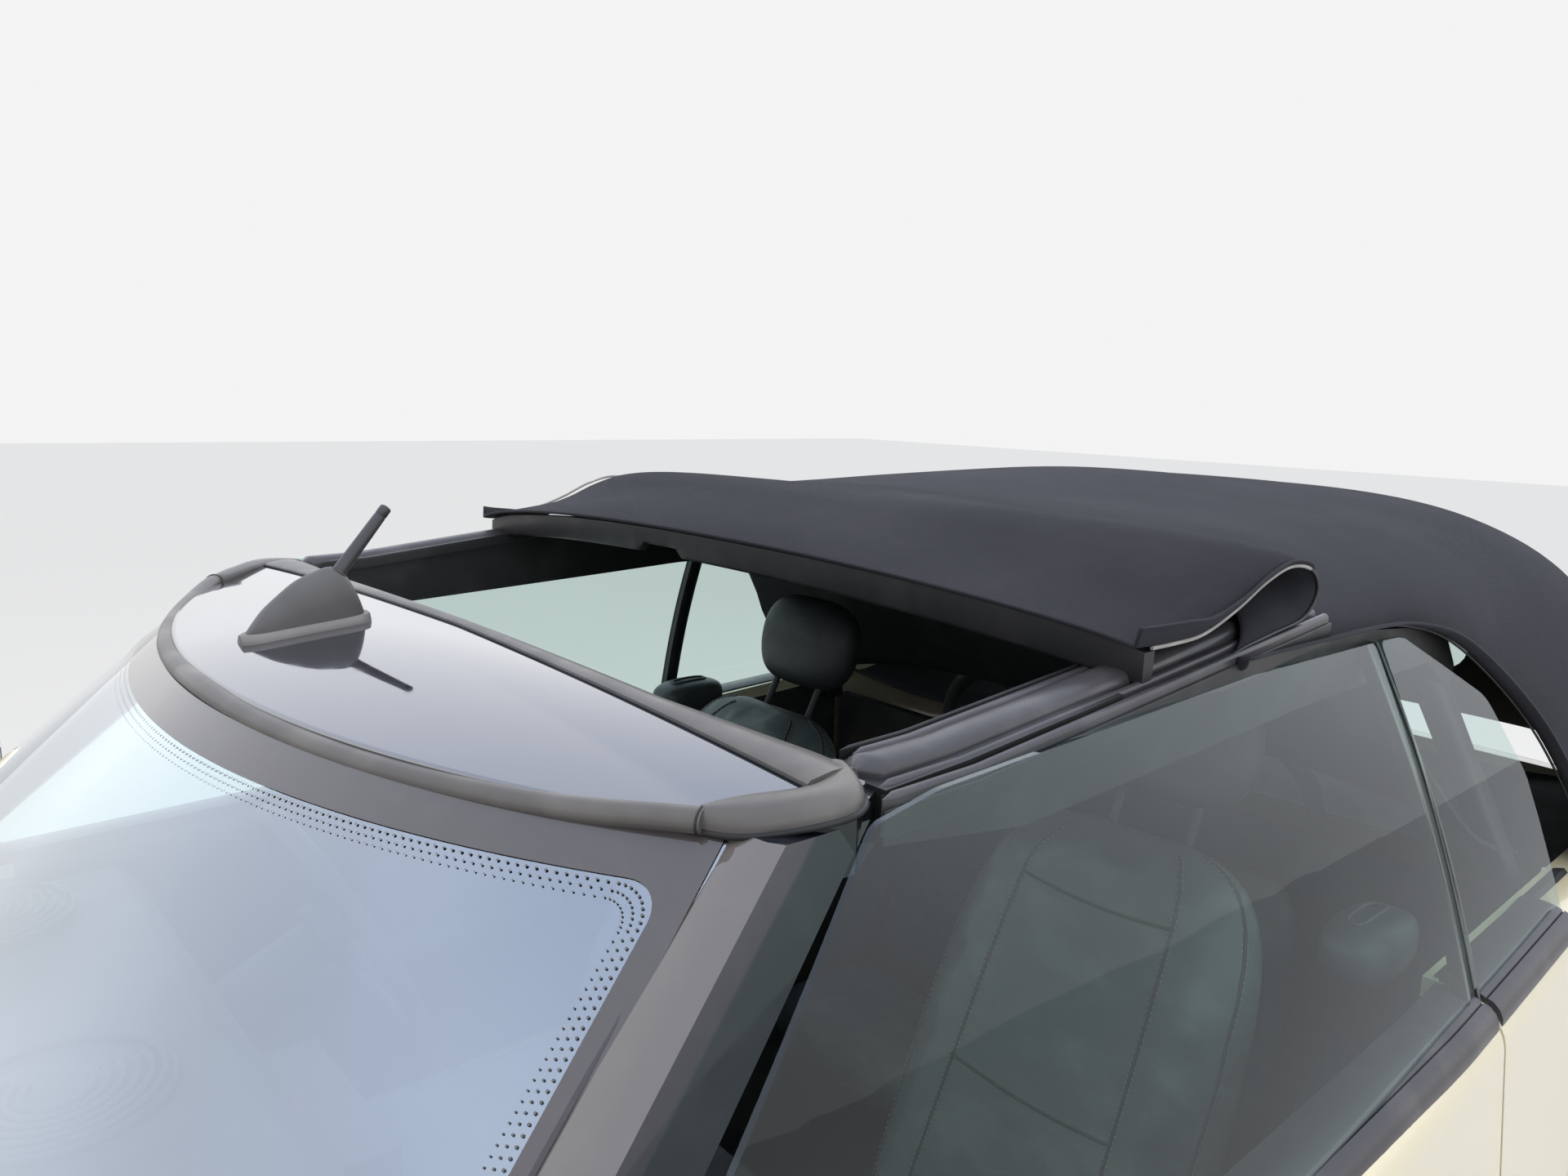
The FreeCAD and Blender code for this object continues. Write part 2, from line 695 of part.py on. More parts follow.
# Floor with sills, firewall, rear wall and boot floor
boot_floor_z = 345.0
jack_pad_z = 188.0
jack_front_x = 520.0
jack_rear_x = -640.0
jack_y = 610.0
trail_x = -890.0
trail_y = 400.0
trail_z = 171.0
rear_wall_z = 930.0
tunnel_half = 75.0
tunnel_high = 120.0
boot_rear_x = -1690.0
boot_half = 590.0
dash_low_z = 630.0
dash_under_z = 826.0
rear_pan_z = floor_z + tunnel_high
rear_pan_x = -918.0
floor_parts = [
    block(rear_pan_x - wall_thick, firewall_x + wall_thick, 0.0, 690.0, floor_z, floor_z + floor_thickness),
    block(firewall_x, firewall_x + wall_thick, 0.0, 690.0, floor_z, dash_under_z),
    block(firewall_x, firewall_x + 190.0, 0.0, 600.0, dash_under_z - wall_thick, dash_under_z),
    block(-900.0, 790.0, post_inner_y, sill_outer_y, floor_z, door_bottom_z - gap),
    block(rear_pan_x - wall_thick, rear_pan_x, 0.0, 690.0, floor_z, rear_pan_z),
    block(cabin_rear_x - wall_thick, rear_pan_x, 0.0, 690.0, rear_pan_z - wall_thick, rear_pan_z),
    block(cabin_rear_x - wall_thick, cabin_rear_x, 0.0, 690.0, rear_pan_z - wall_thick, rear_wall_z),
    block(boot_rear_x, cabin_rear_x, 0.0, boot_half, boot_floor_z, boot_floor_z + wall_thick),
    block(boot_rear_x, boot_rear_x + wall_thick, 0.0, boot_half, boot_floor_z, 590.0),
    block(post_rear_x, firewall_x + wall_thick, post_inner_y, sill_outer_y, floor_z, 900.0),
]
floor_under_z = floor_z + skin + seat_gap
floor_half = fused(floor_parts).common(hull(skin + seat_gap))
jack_pads = [block(x - 35.0, x + 35.0, jack_y - 28.0, jack_y + 28.0, jack_pad_z, floor_under_z + 10.0)
             for x in (jack_front_x, jack_rear_x)]
trail_seat = block(trail_x - 35.0, trail_x + 35.0, trail_y - 35.0, trail_y + 35.0, floor_under_z,
                   floor_under_z + 20.0)
tunnel_outer = front_prism(-tunnel_half - 15.0, tunnel_half + 15.0, floor_under_z, rear_pan_z, 30.0,
                           cabin_rear_x, firewall_x)
tunnel = tunnel_outer.common(block(-3000.0, 3000.0, 0.0, 500.0, 0.0, 1000.0))
hollow = front_prism(-tunnel_half, tunnel_half, floor_z - 60.0, rear_pan_z - 15.0, 25.0,
                     cabin_rear_x - 50.0, firewall_x + 60.0)
floor_half = fused([floor_half, tunnel, trail_seat] + jack_pads)
floor_half = without(floor_half, left_arches + [door_space, hollow])
hinges = [part for z in hinge_heights for part in door_hinge(z)]
floor_pan = largest(whole_of(fused([largest(floor_half)] + hinges)))
save("floor_pan", floor_pan)

# Front frame: rails, strut towers and cross members
rail_half = 395.0
rail_z = 440.0
tower_z = 800.0
front_frame = [
    block(firewall_x + wall_thick, 1600.0, rail_half - 30.0, rail_half + 30.0, rail_z, rail_z + 70.0),
    block(1090.0, 1250.0, rail_half - 5.0, rail_half + 20.0, rail_z, tower_z + 18.0),
    block(1090.0, 1250.0, rail_half, 620.0, tower_z, tower_z + 18.0),
]
front_frame = fused(front_frame + [mirrored(part) for part in front_frame]
                    + [block(1570.0, 1600.0, -rail_half, rail_half, rail_z, rail_z + 70.0)])
front_frame = front_frame.cut(rod(tow_socket_radius, at(1500.0, -tow_eye_y, tow_eye_z),
                                  at(1700.0, -tow_eye_y, tow_eye_z)))
strut_top_radius = 18.0
bearing_radius = strut_top_radius + shaft_clearance
for side in both_sides(rod(bearing_radius, king_at(tower_z - 60.0), king_at(tower_z + 60.0))):
    front_frame = front_frame.cut(side)
save("front_frame", front_frame)
save("radiator", block(1600.0 + seat_gap, 1634.0, -330.0, 330.0, 290.0, 640.0))
engine_low_z = 300.0
save("engine_block", block(960.0, 1430.0, -300.0, 300.0, engine_low_z, 760.0))

# Lower arms and their cross member under the engine
arm_z = king_low.z
ball_radius = 20.0
ball_top_z = arm_z - ball_radius * math.sin(king_way.getAngle(at(0, 0, 1))) - seat_gap
sub_parts = [
    block(front_axle_x - 110.0, front_axle_x + 50.0, -330.0, 330.0, 205.0, 245.0),
    block(front_axle_x - 90.0, front_axle_x - 10.0, 90.0, 170.0, 240.0, engine_low_z - seat_gap),
    block(front_axle_x - 90.0, front_axle_x - 10.0, -170.0, -90.0, 240.0, engine_low_z - seat_gap),
]
for sign in (1, -1):
    inner_end = at(front_axle_x - 20.0, sign * 320.0, 222.0)
    outer_end = at(front_axle_x, sign * king_low.y, ball_top_z - 18.0)
    sub_parts.append(rod(13.0, inner_end, outer_end))
    sub_parts.append(Part.makeCylinder(24.0, 30.0, at(front_axle_x, sign * king_low.y, ball_top_z - 30.0)))
    sub_parts.append(rod(14.0, at(firewall_x + 120.0, sign * 330.0, 225.0),
                         at(front_axle_x - 20.0, sign * 460.0, 212.0)))
    sub_parts.append(block(firewall_x + 100.0, firewall_x + 140.0, sign * 330.0 - 20.0, sign * 330.0 + 20.0,
                           215.0, rail_z))
    sub_parts.append(block(front_axle_x - 80.0, front_axle_x + 20.0, sign * 350.0 - 25.0, sign * 350.0
                           + 15.0, 205.0, rail_z - seat_gap))
save("front_subframe", fused(sub_parts))

# Wheels, turned about the axle line at their own place
WHEELS = (
    ("front_left", front_axle_x, track_front / 2, 1),
    ("front_right", front_axle_x, -track_front / 2, -1),
    ("rear_left", rear_axle_x, track_rear / 2, 1),
    ("rear_right", rear_axle_x, -track_rear / 2, -1),
)
shoulder = 22.0
bead_seat = rim_radius - 8.0
hub_face_y = 36.0


def wheel_turned(outline, centre, sign):
    """An outline of (radius, offset outwards) turned about the axle."""
    points = [centre.add(at(r, sign * y, 0)) for r, y in outline]
    return prism_turned(points, centre)


def tyre(centre, sign):
    half = tyre_width / 2
    bead_half = rim_width / 2
    outline = (
        (rim_radius + 2.0, -bead_half), (tyre_radius - 55.0, -half), (tyre_radius - shoulder, -half + 3.0),
        (tyre_radius - 5.0, -half + shoulder), (tyre_radius, -half + 2 * shoulder),
        (tyre_radius, half - 2 * shoulder), (tyre_radius - 5.0, half - shoulder),
        (tyre_radius - shoulder, half - 3.0), (tyre_radius - 55.0, half), (rim_radius + 2.0, bead_half),
    )
    return wheel_turned(outline, centre, sign)


def rim(centre, sign):
    half = rim_width / 2
    barrel = (
        (bead_seat - 8.0, -half), (rim_radius + 2.0, -half), (rim_radius + 2.0, half), (bead_seat - 2.0,
                                                                                        half),
    )
    hub = (
        (hub_bore / 2, -6.0), (hub_radius, -6.0), (hub_radius, hub_face_y), (hub_bore / 2 + 12.0,
                                                                             hub_face_y + 6.0),
        (hub_bore / 2, hub_face_y + 6.0),
    )
    parts = [wheel_turned(barrel, centre, sign), wheel_turned(hub, centre, sign)]
    disc = ((hub_bore / 2, -34.0), (disc_radius, -34.0), (disc_radius, -14.0), (hub_radius - 10.0, -14.0),
            (hub_radius - 10.0, -2.0), (hub_bore / 2, -2.0))
    parts.append(wheel_turned(disc, centre, sign))
    for i in range(spoke_count):
        spoke = block(hub_radius - 12.0, bead_seat - 2.0, -15.0, 15.0, 0.0, 24.0)
        spoke.rotate(at(0, 0, 0), at(0, 1, 0), -4.0)
        spoke.rotate(at(0, 0, 0), at(0, 0, 1), i * 360.0 / spoke_count)
        spoke.rotate(at(0, 0, 0), at(1, 0, 0), -90.0 * sign)
        spoke.translate(centre.add(at(0, sign * (hub_face_y - 20.0), 0)))
        parts.append(spoke)
    solid = fused(parts)
    holes = []
    for i in range(bolt_count):
        angle = math.radians(45.0 + i * 360.0 / bolt_count)
        spot = centre.add(at(bolt_circle / 2 * math.cos(angle), 0, bolt_circle / 2 * math.sin(angle)))
        holes.append(rod(bolt_bore / 2, spot.add(at(0, -60.0, 0)), spot.add(at(0, 60.0, 0))))
    return without(solid, holes)


for name, axle_x, wheel_y, sign in WHEELS:
    centre = at(axle_x, wheel_y, tyre_radius)
    save("tyre_" + name, tyre(centre, sign))
    save("rim_" + name, rim(centre, sign))


def stub_shaft(axle_x, wheel_y, sign, start_y):
    """The pin that the wheel turns on, with a shoulder behind the brake disc."""
    pin_end = sign * (abs(wheel_y) + hub_face_y + 4.0)
    pin = rod(hub_bore / 2 - shaft_clearance, at(axle_x, sign * start_y, tyre_radius),
              at(axle_x, pin_end, tyre_radius))
    collar_end = sign * (abs(wheel_y) - 34.0 - face_clearance)
    collar = rod(34.0, at(axle_x, sign * start_y, tyre_radius), at(axle_x, collar_end, tyre_radius))
    return [pin, collar]


def knuckle():
    """The left upright with its strut, which turn together about the steering axis."""
    wheel_y = track_front / 2
    parts = stub_shaft(front_axle_x, wheel_y, 1, wheel_y - 80.0)
    parts.append(block(front_axle_x - 34.0, front_axle_x + 34.0, wheel_y - 96.0, wheel_y - 58.0, 200.0,
                       400.0))
    parts.append(rod(ball_radius, king_at(arm_z), king_at(arm_z + 40.0)))
    parts.append(rod(24.0, king_at(370.0), king_at(650.0)))
    parts.append(rod(11.0, king_at(600.0), king_at(tower_z - 8.0)))
    parts.append(rod(spring_radius, king_at(650.0), king_at(740.0)))
    parts.append(rod(strut_top_radius, king_at(tower_z - 8.0), king_at(tower_z + 26.0)))
    caliper = Part.makeCylinder(disc_radius + 26.0, 50.0, at(front_axle_x, wheel_y - 60.0, tyre_radius),
                                at(0, 1, 0))
    caliper = caliper.cut(Part.makeCylinder(disc_radius - 42.0, 60.0,
                                            at(front_axle_x, wheel_y - 65.0, tyre_radius), at(0, 1, 0)))
    caliper = caliper.common(block(front_axle_x - 400.0, front_axle_x - 78.0, 0.0, 900.0,
                                   tyre_radius - 70.0, tyre_radius + 70.0))
    caliper = caliper.cut(Part.makeCylinder(disc_radius + 4.0, 32.0,
                                            at(front_axle_x, wheel_y - 40.0, tyre_radius), at(0, 1, 0)))
    parts.append(caliper)
    parts.append(block(front_axle_x - 110.0, front_axle_x, wheel_y - 76.0, wheel_y - 58.0,
                       tyre_radius - 50.0, tyre_radius + 50.0))
    return fused(parts)


knuckle_left = knuckle()
save("knuckle_left", knuckle_left)
save("knuckle_right", mirrored(knuckle_left))

# Rear axle with its trailing arms, springs and stub shafts
beam_x = rear_axle_x + 60.0
beam_z = 275.0
spring_y = 530.0
axle_parts = [rod(27.0, at(beam_x, -600.0, beam_z), at(beam_x, 600.0, beam_z))]
for sign in (1, -1):
    wheel_y = track_rear / 2
    axle_parts += stub_shaft(rear_axle_x, wheel_y, sign, wheel_y - 120.0)
    near, far = sorted((sign * (wheel_y - 140.0), sign * (wheel_y - 108.0)))
    axle_parts.append(block(rear_axle_x - 50.0, rear_axle_x + 95.0, near, far, 240.0, 370.0))
    axle_parts.append(rod(20.0, at(beam_x, sign * trail_y, beam_z), at(trail_x, sign * trail_y, trail_z)))
    axle_parts.append(block(trail_x - 25.0, trail_x + 25.0, sign * trail_y - 25.0, sign * trail_y + 25.0,
                            trail_z - 22.0, floor_under_z - seat_gap))
    axle_parts.append(rod(16.0, at(beam_x, sign * spring_y, beam_z), at(beam_x, sign * spring_y, 560.0)))
    axle_parts.append(rod(48.0, at(beam_x, sign * spring_y, 390.0), at(beam_x, sign * spring_y, 657.0)))
save("rear_axle", fused(axle_parts))

# Exhaust under the floor
exhaust_z = 152.0
exhaust_radius = 20.0
silencer = front_prism(-240.0, 240.0, 200.0, 318.0, 45.0, -1745.0, -1560.0)
exhaust_parts = [
    silencer,
    rod(exhaust_radius, at(900.0, 0, exhaust_z + 20.0), at(-1420.0, 0, exhaust_z + 20.0)),
    rod(exhaust_radius, at(-1415.0, 0, exhaust_z + 20.0), at(-1570.0, 0, 240.0)),
    Part.makeSphere(exhaust_radius, at(-1417.0, 0, exhaust_z + 21.0)),
]
for side in both_sides(rod(pipe_radius, at(-1735.0, pipe_y, pipe_z), at(-1846.0, pipe_y, pipe_z))):
    exhaust_parts.append(side)
for sign in (1, -1):
    exhaust_parts.append(block(-1660.0, -1640.0, sign * 150.0 - 10.0, sign * 150.0 + 10.0, 300.0,
                               boot_floor_z - seat_gap))
exhaust = fused(exhaust_parts)
for side in both_sides(rod(pipe_radius - pipe_wall, at(-1760.0, pipe_y, pipe_z),
                           at(-1900.0, pipe_y, pipe_z))):
    exhaust = exhaust.cut(side)
save("exhaust", exhaust)


# Windscreen frame: two pillars and the header
pillar_foot_z = 936.0


def slope_box(x, y, z, long_x, wide_y):
    points = [
        at(x - long_x / 2, y - wide_y / 2, z), at(x + long_x / 2, y - wide_y / 2, z),
        at(x + long_x / 2, y + wide_y / 2, z), at(x - long_x / 2, y + wide_y / 2, z),
    ]
    return rounded_wire(points, [12.0] * 4)


pillar = Part.makeLoft([
    slope_box(screen_base_x + 4.0, screen_base_half + 4.0, screen_base_z - 26.0, 86.0, 48.0),
    slope_box(header_end_x - 28.0, header_end_half + 4.0, header_front_z - 16.0, 76.0, 48.0),
], True, True)


def header_outline(inset, z):
    corner = at(header_end_x - inset, header_end_half - inset / 2, z)
    side = at(header_corner_x, header_corner_half - inset, z)
    rear = at(header_rear_x + inset, header_corner_half - 20.0 - inset, z)
    other = [at(p.x, -p.y, p.z) for p in (corner, side, rear)]
    edges = [
        arc_between(other[0], at(header_end_x + header_bow - inset, 0, z), corner),
        line_between(corner, side),
        line_between(side, rear),
        line_between(rear, other[2]),
        line_between(other[2], other[1]),
        line_between(other[1], other[0]),
    ]
    return Part.Wire(edges)


def header_crown(lift):
    """Everything below the header's crowned surface, raised by lift."""
    sections = []
    for x, side_drop in HEADER_CAMBER:
        mid = header_mid_z(x) + lift
        side = mid - side_drop
        arc = arc_between(at(x, -700.0, side), at(x, 0, mid), at(x, 700.0, side))
        low_left = at(x, 700.0, 1100.0)
        low_right = at(x, -700.0, 1100.0)
        edges = [arc, line_between(at(x, 700.0, side), low_left), line_between(low_left, low_right),
                 line_between(low_right, at(x, -700.0, side))]
        sections.append(Part.Wire(edges))
    return Part.makeLoft(sections, True, False)


def header_mid_z(x):
    """Height of the header frame's middle, which falls forwards in a shallow arch."""
    back, ahead = x - header_rear_x, header_end_x + header_bow - x
    return header_rear_mid_z - header_slope * back + header_bend * back * ahead


def header_slab(inset, low, high):
    """A crowned slab of the header's plan between two lifts."""
    plan = Part.Face(header_outline(inset, 1150.0)).extrude(at(0, 0, 300.0))
    return plan.common(header_crown(high)).cut(header_crown(low))


frame_bar = header_slab(0.0, -header_thick, 0.0)
screen_frame = fused([frame_bar] + both_sides(pillar))
swing_way = block(hinge_x - 10.0, door_front_x + gap, door_inner_y - 65.0, 900.0, 900.0, pillar_foot_z)
for piece in (door_left, mirrored(door_left), wings, cowl, swing_way, mirrored(swing_way)):
    screen_frame = screen_frame.cut(piece)
screen_frame = largest(screen_frame)
cover = header_slab(3.0, 0.0, cover_thick)
save("header_cover", cover)


def screen_outline(x, half, bow, z, thick):
    """A level cut through the bent windscreen."""
    outer = arc_between(at(x, -half, z), at(x + bow, 0, z), at(x, half, z))
    inner = arc_between(at(x - thick, half, z), at(x + bow - thick, 0, z), at(x - thick, -half, z))
    return Part.Wire([outer, line_between(at(x, half, z), at(x - thick, half, z)), inner,
                      line_between(at(x - thick, -half, z), at(x, -half, z))])


level_thick = screen_thick / math.sin(math.atan2(
    header_front_z - screen_base_z, screen_base_x + screen_base_bow - header_end_x - header_bow))
screen = Part.makeLoft([
    screen_outline(screen_base_x, screen_base_half - 20.0, screen_base_bow, screen_base_z, level_thick),
    screen_outline(header_end_x + 6.0, header_end_half - 12.0, header_bow, header_front_z - 8.0, level_thick),
], True, True)
screen = largest(without(screen, [screen_frame, cowl, cover]))
save("windscreen", screen)
save("windscreen_frame", screen_frame)

# Antenna base and mast on the header
antenna_x = 241.0
antenna_y = -75.0
antenna_long = 128.0
antenna_wide = 50.0
antenna_high = 55.0
mast_radius = 6.2
mast_lean = 56.0
mast_high = 70.0
antenna_z = header_mid_z(antenna_x) + cover_thick
antenna_base = Part.makeLoft([
    slope_box(antenna_x, antenna_y, antenna_z - 10.0, antenna_long, antenna_wide),
    slope_box(antenna_x - 30.0, antenna_y, antenna_z + antenna_high, 34.0, 25.0),
], True, True)
mast_foot = at(antenna_x - 34.0, antenna_y, antenna_z + antenna_high - 3.0)
mast = rod(mast_radius, mast_foot, mast_foot.add(at(-mast_lean, 0, mast_high)))
antenna = fused([antenna_base, mast]).cut(cover)
save("antenna", largest(antenna))

# Cabin
dash_outline = ((300, dash_low_z), (300, 880), (345, 925), (800, 925), (805, dash_under_z + 4.0),
                (firewall_x - 4.0, dash_under_z + 4.0), (firewall_x - 4.0, dash_low_z))
dash_half = post_inner_y - seat_gap
dash_points = [at(x, -dash_half, z) for x, z in dash_outline]
dashboard = prism(dash_points, [40.0, 30.0, 40.0, 8.0, 0.0, 0.0, 20.0], at(0, 2 * dash_half, 0))
dashboard = dashboard.common(cabin_region(-16.0, 500.0, 1000.0))
dashboard = largest(dashboard.cut(screen_frame).cut(hull(-seat_gap).cut(hull(skin + 2.0))))
wheel_side_y = -360.0
column_way = at(-0.9, 0, 0.42)
column_start = at(330.0, wheel_side_y, 770.0)
column_end = column_start.add(at(column_way.x, column_way.y, column_way.z).multiply(200.0))
column = rod(34.0, column_start, column_end)
save("dashboard", fused([dashboard, column]))
hub_start = column_start.add(at(column_way.x, 0, column_way.z).multiply(200.0 + seat_gap))
hub_end = column_start.add(at(column_way.x, 0, column_way.z).multiply(236.0))
wheel_ring_radius = 178.0
steering = [Part.makeTorus(wheel_ring_radius, 14.0, hub_end, column_way), rod(48.0, hub_start, hub_end)]
across = at(0, 1, 0)
up_wheel = column_way.cross(across)
up_wheel.normalize()
for side, rise in ((1, 0.25), (-1, 0.25), (0, -1)):
    aim = at(up_wheel.x * rise, side, up_wheel.z * rise)
    aim.normalize()
    start = hub_end.sub(at(column_way.x, 0, column_way.z).multiply(12.0))
    steering.append(rod(11.0, start, hub_end.add(aim.multiply(wheel_ring_radius))))
save("steering_wheel", fused(steering))
save("centre_console", block(-300.0, 420.0, -80.0, 80.0, rear_pan_z + seat_gap, 520.0)
     .fuse(block(296.0 - 60.0, 300.0 - seat_gap, -120.0, 120.0, 500.0, 860.0)).removeSplitter())

seat_y = 360.0
seat_half = 245.0
cushion_top_z = 500.0


def front_seat():
    """Seat rails, cushion, leaning backrest and headrest as one closed form."""
    rails = block(-330.0, 130.0, seat_y - 200.0, seat_y + 200.0, floor_z + floor_thickness + seat_gap, 345.0)
    cushion = side_prism(((-400, 340), (150, 340), (170, 500), (-300, 470), (-400, 460)), 30.0,
                         seat_y - seat_half, seat_y + seat_half)
    backrest = side_prism(((-300, 400), (-420, 400), (-700, 1030), (-650, 1075), (-560, 1040)), 28.0,
                          seat_y - seat_half + 15.0, seat_y + seat_half - 15.0)
    headrest = side_prism(((-650, 1085), (-690, 1245), (-790, 1240), (-760, 1080)), 30.0,
                          seat_y - 130.0, seat_y + 130.0)
    posts = [rod(8.0, at(-680.0, seat_y + dy, 1030.0), at(-715.0, seat_y + dy, 1110.0)) for dy in (-55.0,
                                                                                                   55.0)]
    return fused([rails, cushion, backrest, headrest] + posts)


seat = front_seat()
save("seat_front_left", seat)
save("seat_front_right", mirrored(seat))
rear_half = 430.0
rear_bench = fused([
    block(-930.0, -640.0, -rear_half, rear_half, rear_pan_z + seat_gap, 520.0),
    side_prism(((-920, 420), (-1020, 900), (-1090, 900), (-1115, 420)), 25.0, -rear_half, rear_half),
])
save("rear_seat", rear_bench)
hoop_x = cabin_rear_x - wall_thick / 2
hoop_radius = 15.0
hoop_half = 105.0
hoop_bend_z = 955.0
hoops = []
for hoop_y in (-270.0, 270.0):
    top = at(hoop_x, hoop_y, hoop_bend_z)
    half_ring = Part.makeTorus(hoop_half, hoop_radius, top, at(1, 0, 0)).common(
        block(hoop_x - 50.0, hoop_x + 50.0, hoop_y - 200.0, hoop_y + 200.0, hoop_bend_z, hoop_bend_z + 300.0))
    legs = [rod(hoop_radius, at(hoop_x, hoop_y + dy, rear_wall_z), at(hoop_x, hoop_y + dy, hoop_bend_z))
            for dy in (-hoop_half, hoop_half)]
    hoops.append(fused([half_ring] + legs))
save("roll_hoops", Part.makeCompound(hoops))

# Roof side rails and the rear leg that carries the soft top
rail_front_x = header_rear_x - seat_gap
rail_outline = ((rail_front_x, 1288), (rail_front_x, 1328), (0, 1333), (-250, 1357), (-560, 1362),
                (-900, 1330), (-960, 1262),
                (-930, 1250), (-860, 1290), (-560, 1288), (-390, 1280), (-70, 1266))
rail_points = [at(x, rail_inner_y, z) for x, z in rail_outline]
rail = prism(rail_points, [0.0, 0.0] + [15.0] * 10, at(0, rail_outer_y - rail_inner_y, 0))
leg = Part.makeLoft([
    slope_box(-935.0, 571.0, 1270.0, 44.0, 40.0),
    slope_box(-1080.0, 672.0, 935.0, 44.0, 36.0),
], True, True)


# Soft top
def canopy_section(row, inset):
    x, w_low, z_low, w_shoulder, z_shoulder, z_mid = row
    low = z_low - (60.0 if inset > 0 else 0.0)
    half = (at(x, w_low - inset, low), at(x, w_shoulder - inset, z_shoulder - inset))
    points = list(half) + [at(x, 0, z_mid - inset)] + [at(x, -p.y, p.z) for p in reversed(half)]
    crown = reach_radius(points, 2, 0.75 * (w_shoulder - 60.0))
    return rounded_wire(points, [0.0, 70.0, crown, 70.0, 0.0])


def canopy_form(inset, front_x, rear_x):
    rows = [list(row) for row in CANOPY_SECTIONS]
    rows[0][0] = front_x
    rows[-1][0] = rear_x
    return Part.makeLoft([canopy_section(row, inset) for row in rows], True, False)


canopy_outer = canopy_form(0.0, canopy_front_x, canopy_rear_x)
canopy_inner = canopy_form(canopy_thick, canopy_front_x + 40.0, canopy_rear_x + canopy_thick)
canopy_shell = canopy_outer.cut(canopy_inner)
side_window = prism([at(x, -900.0, z) for x, z in CANOPY_SIDE], [0.0] + [20.0] * 8 + [0.0], at(0, 1800.0, 0))
window_half = 400.0
window_low = 1120.0
window_high = 1280.0


def rear_window_space(grow):
    return front_prism(-window_half - grow, window_half + grow, window_low - grow, window_high + grow,
                       60.0, -1900.0, -1300.0)


canopy = without(canopy_shell, [side_window, rear_window_space(0.0)])
canopy = canopy.cut(hull(-seat_gap))
canopy = largest(canopy)
save("soft_top_canopy", canopy)
pane = canopy_form(4.0, canopy_front_x, canopy_rear_x + 4.0).cut(
    canopy_form(4.0 + glass_thick, canopy_front_x + 40.0, canopy_rear_x + 4.0 + glass_thick))
save("rear_window", largest(pane.common(rear_window_space(-seat_gap))))
carrier = fused([rail, leg]).cut(canopy_outer.cut(canopy_inner)).cut(frame_bar).cut(quarters)
carrier = largest(carrier)
front_bow = canopy_inner.common(block(canopy_front_x - 34.0, canopy_front_x - 4.0, -900.0, 900.0, 1374.0,
                                      1500.0))
save("roof_rails", Part.makeCompound(both_sides(carrier)))
save("soft_top_bow", largest(front_bow))


# Side glass
def glass_section(row, inset):
    """A thin upright strip of the side glass, bowed outwards."""
    x, low_y, low_z, top_y, top_z = row
    low, top = at(x, low_y - inset, low_z), at(x, top_y - inset, top_z)
    middle = at(x, (low_y + top_y) / 2 + glass_bulge - inset, (low_z + top_z) / 2)
    return low, middle, top


def glass_strip(row):
    outer = glass_section(row, 0.0)
    inner = glass_section(row, glass_thick)
    return Part.Wire([arc_between(*outer), line_between(outer[2], inner[2]),
                      arc_between(inner[2], inner[1], inner[0]), line_between(inner[0], outer[0])])


side_sheet = Part.makeLoft([glass_strip(row) for row in GLASS_SECTIONS], True, False)
door_glass = side_sheet.common(prism([at(x, 400.0, z) for x, z in DOOR_GLASS], [0.0] * 2
                                     + [30.0, 60.0, 60.0, 8.0, 0.0], at(0, 500.0, 0)))
door_glass = largest(door_glass.cut(door_left))
save("door_glass_left", door_glass)
save("door_glass_right", mirrored(door_glass))
quarter_glass = side_sheet.common(prism([at(x, 400.0, z) for x, z in QUARTER_GLASS],
                                        [0.0, 8.0, 30.0, 60.0, 60.0, 0.0], at(0, 500.0, 0)))
door_corner = block(door_rear_x - gap, 0.0, 0.0, 900.0, 0.0, belt_clear_z)
quarter_glass = largest(without(quarter_glass, [quarters, canopy, door_corner]))
save("quarter_glass", Part.makeCompound(both_sides(quarter_glass)))

# Door mirrors
mirror_x = 478.0
mirror_y = 868.0
mirror_z = 1035.0
head = block(mirror_x - 45.0, mirror_x + 45.0, mirror_y - 82.0, mirror_y + 88.0, mirror_z - 58.0, mirror_z
             + 62.0)
head = head.makeFillet(38.0, head.Edges)
stalk = Part.makeLoft([
    slope_box(mirror_x, 790.0, 900.0, 70.0, 30.0),
    slope_box(mirror_x, 822.0, mirror_z - 20.0, 50.0, 36.0),
], True, True)
mirror = largest(fused([head, stalk]).cut(door_left).cut(door_glass))
save("mirror_left", mirror)
save("mirror_right", mirrored(mirror))
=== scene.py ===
# %% [markdown]
# # A small convertible with its soft top pushed back
# The car's hard parts arrive as a fixed frame: every panel, wheel, lamp and window is a solid that
# stays where it is. This lesson dresses that frame. It gives each part a finish made of shader
# nodes, and replaces the soft and the finely shaped parts with meshes modelled here.

# %% Load the frame
from math import asin, copysign, cos, exp, pi, radians, sin, sqrt

import bmesh
import bpy
from mathutils import Matrix, Vector


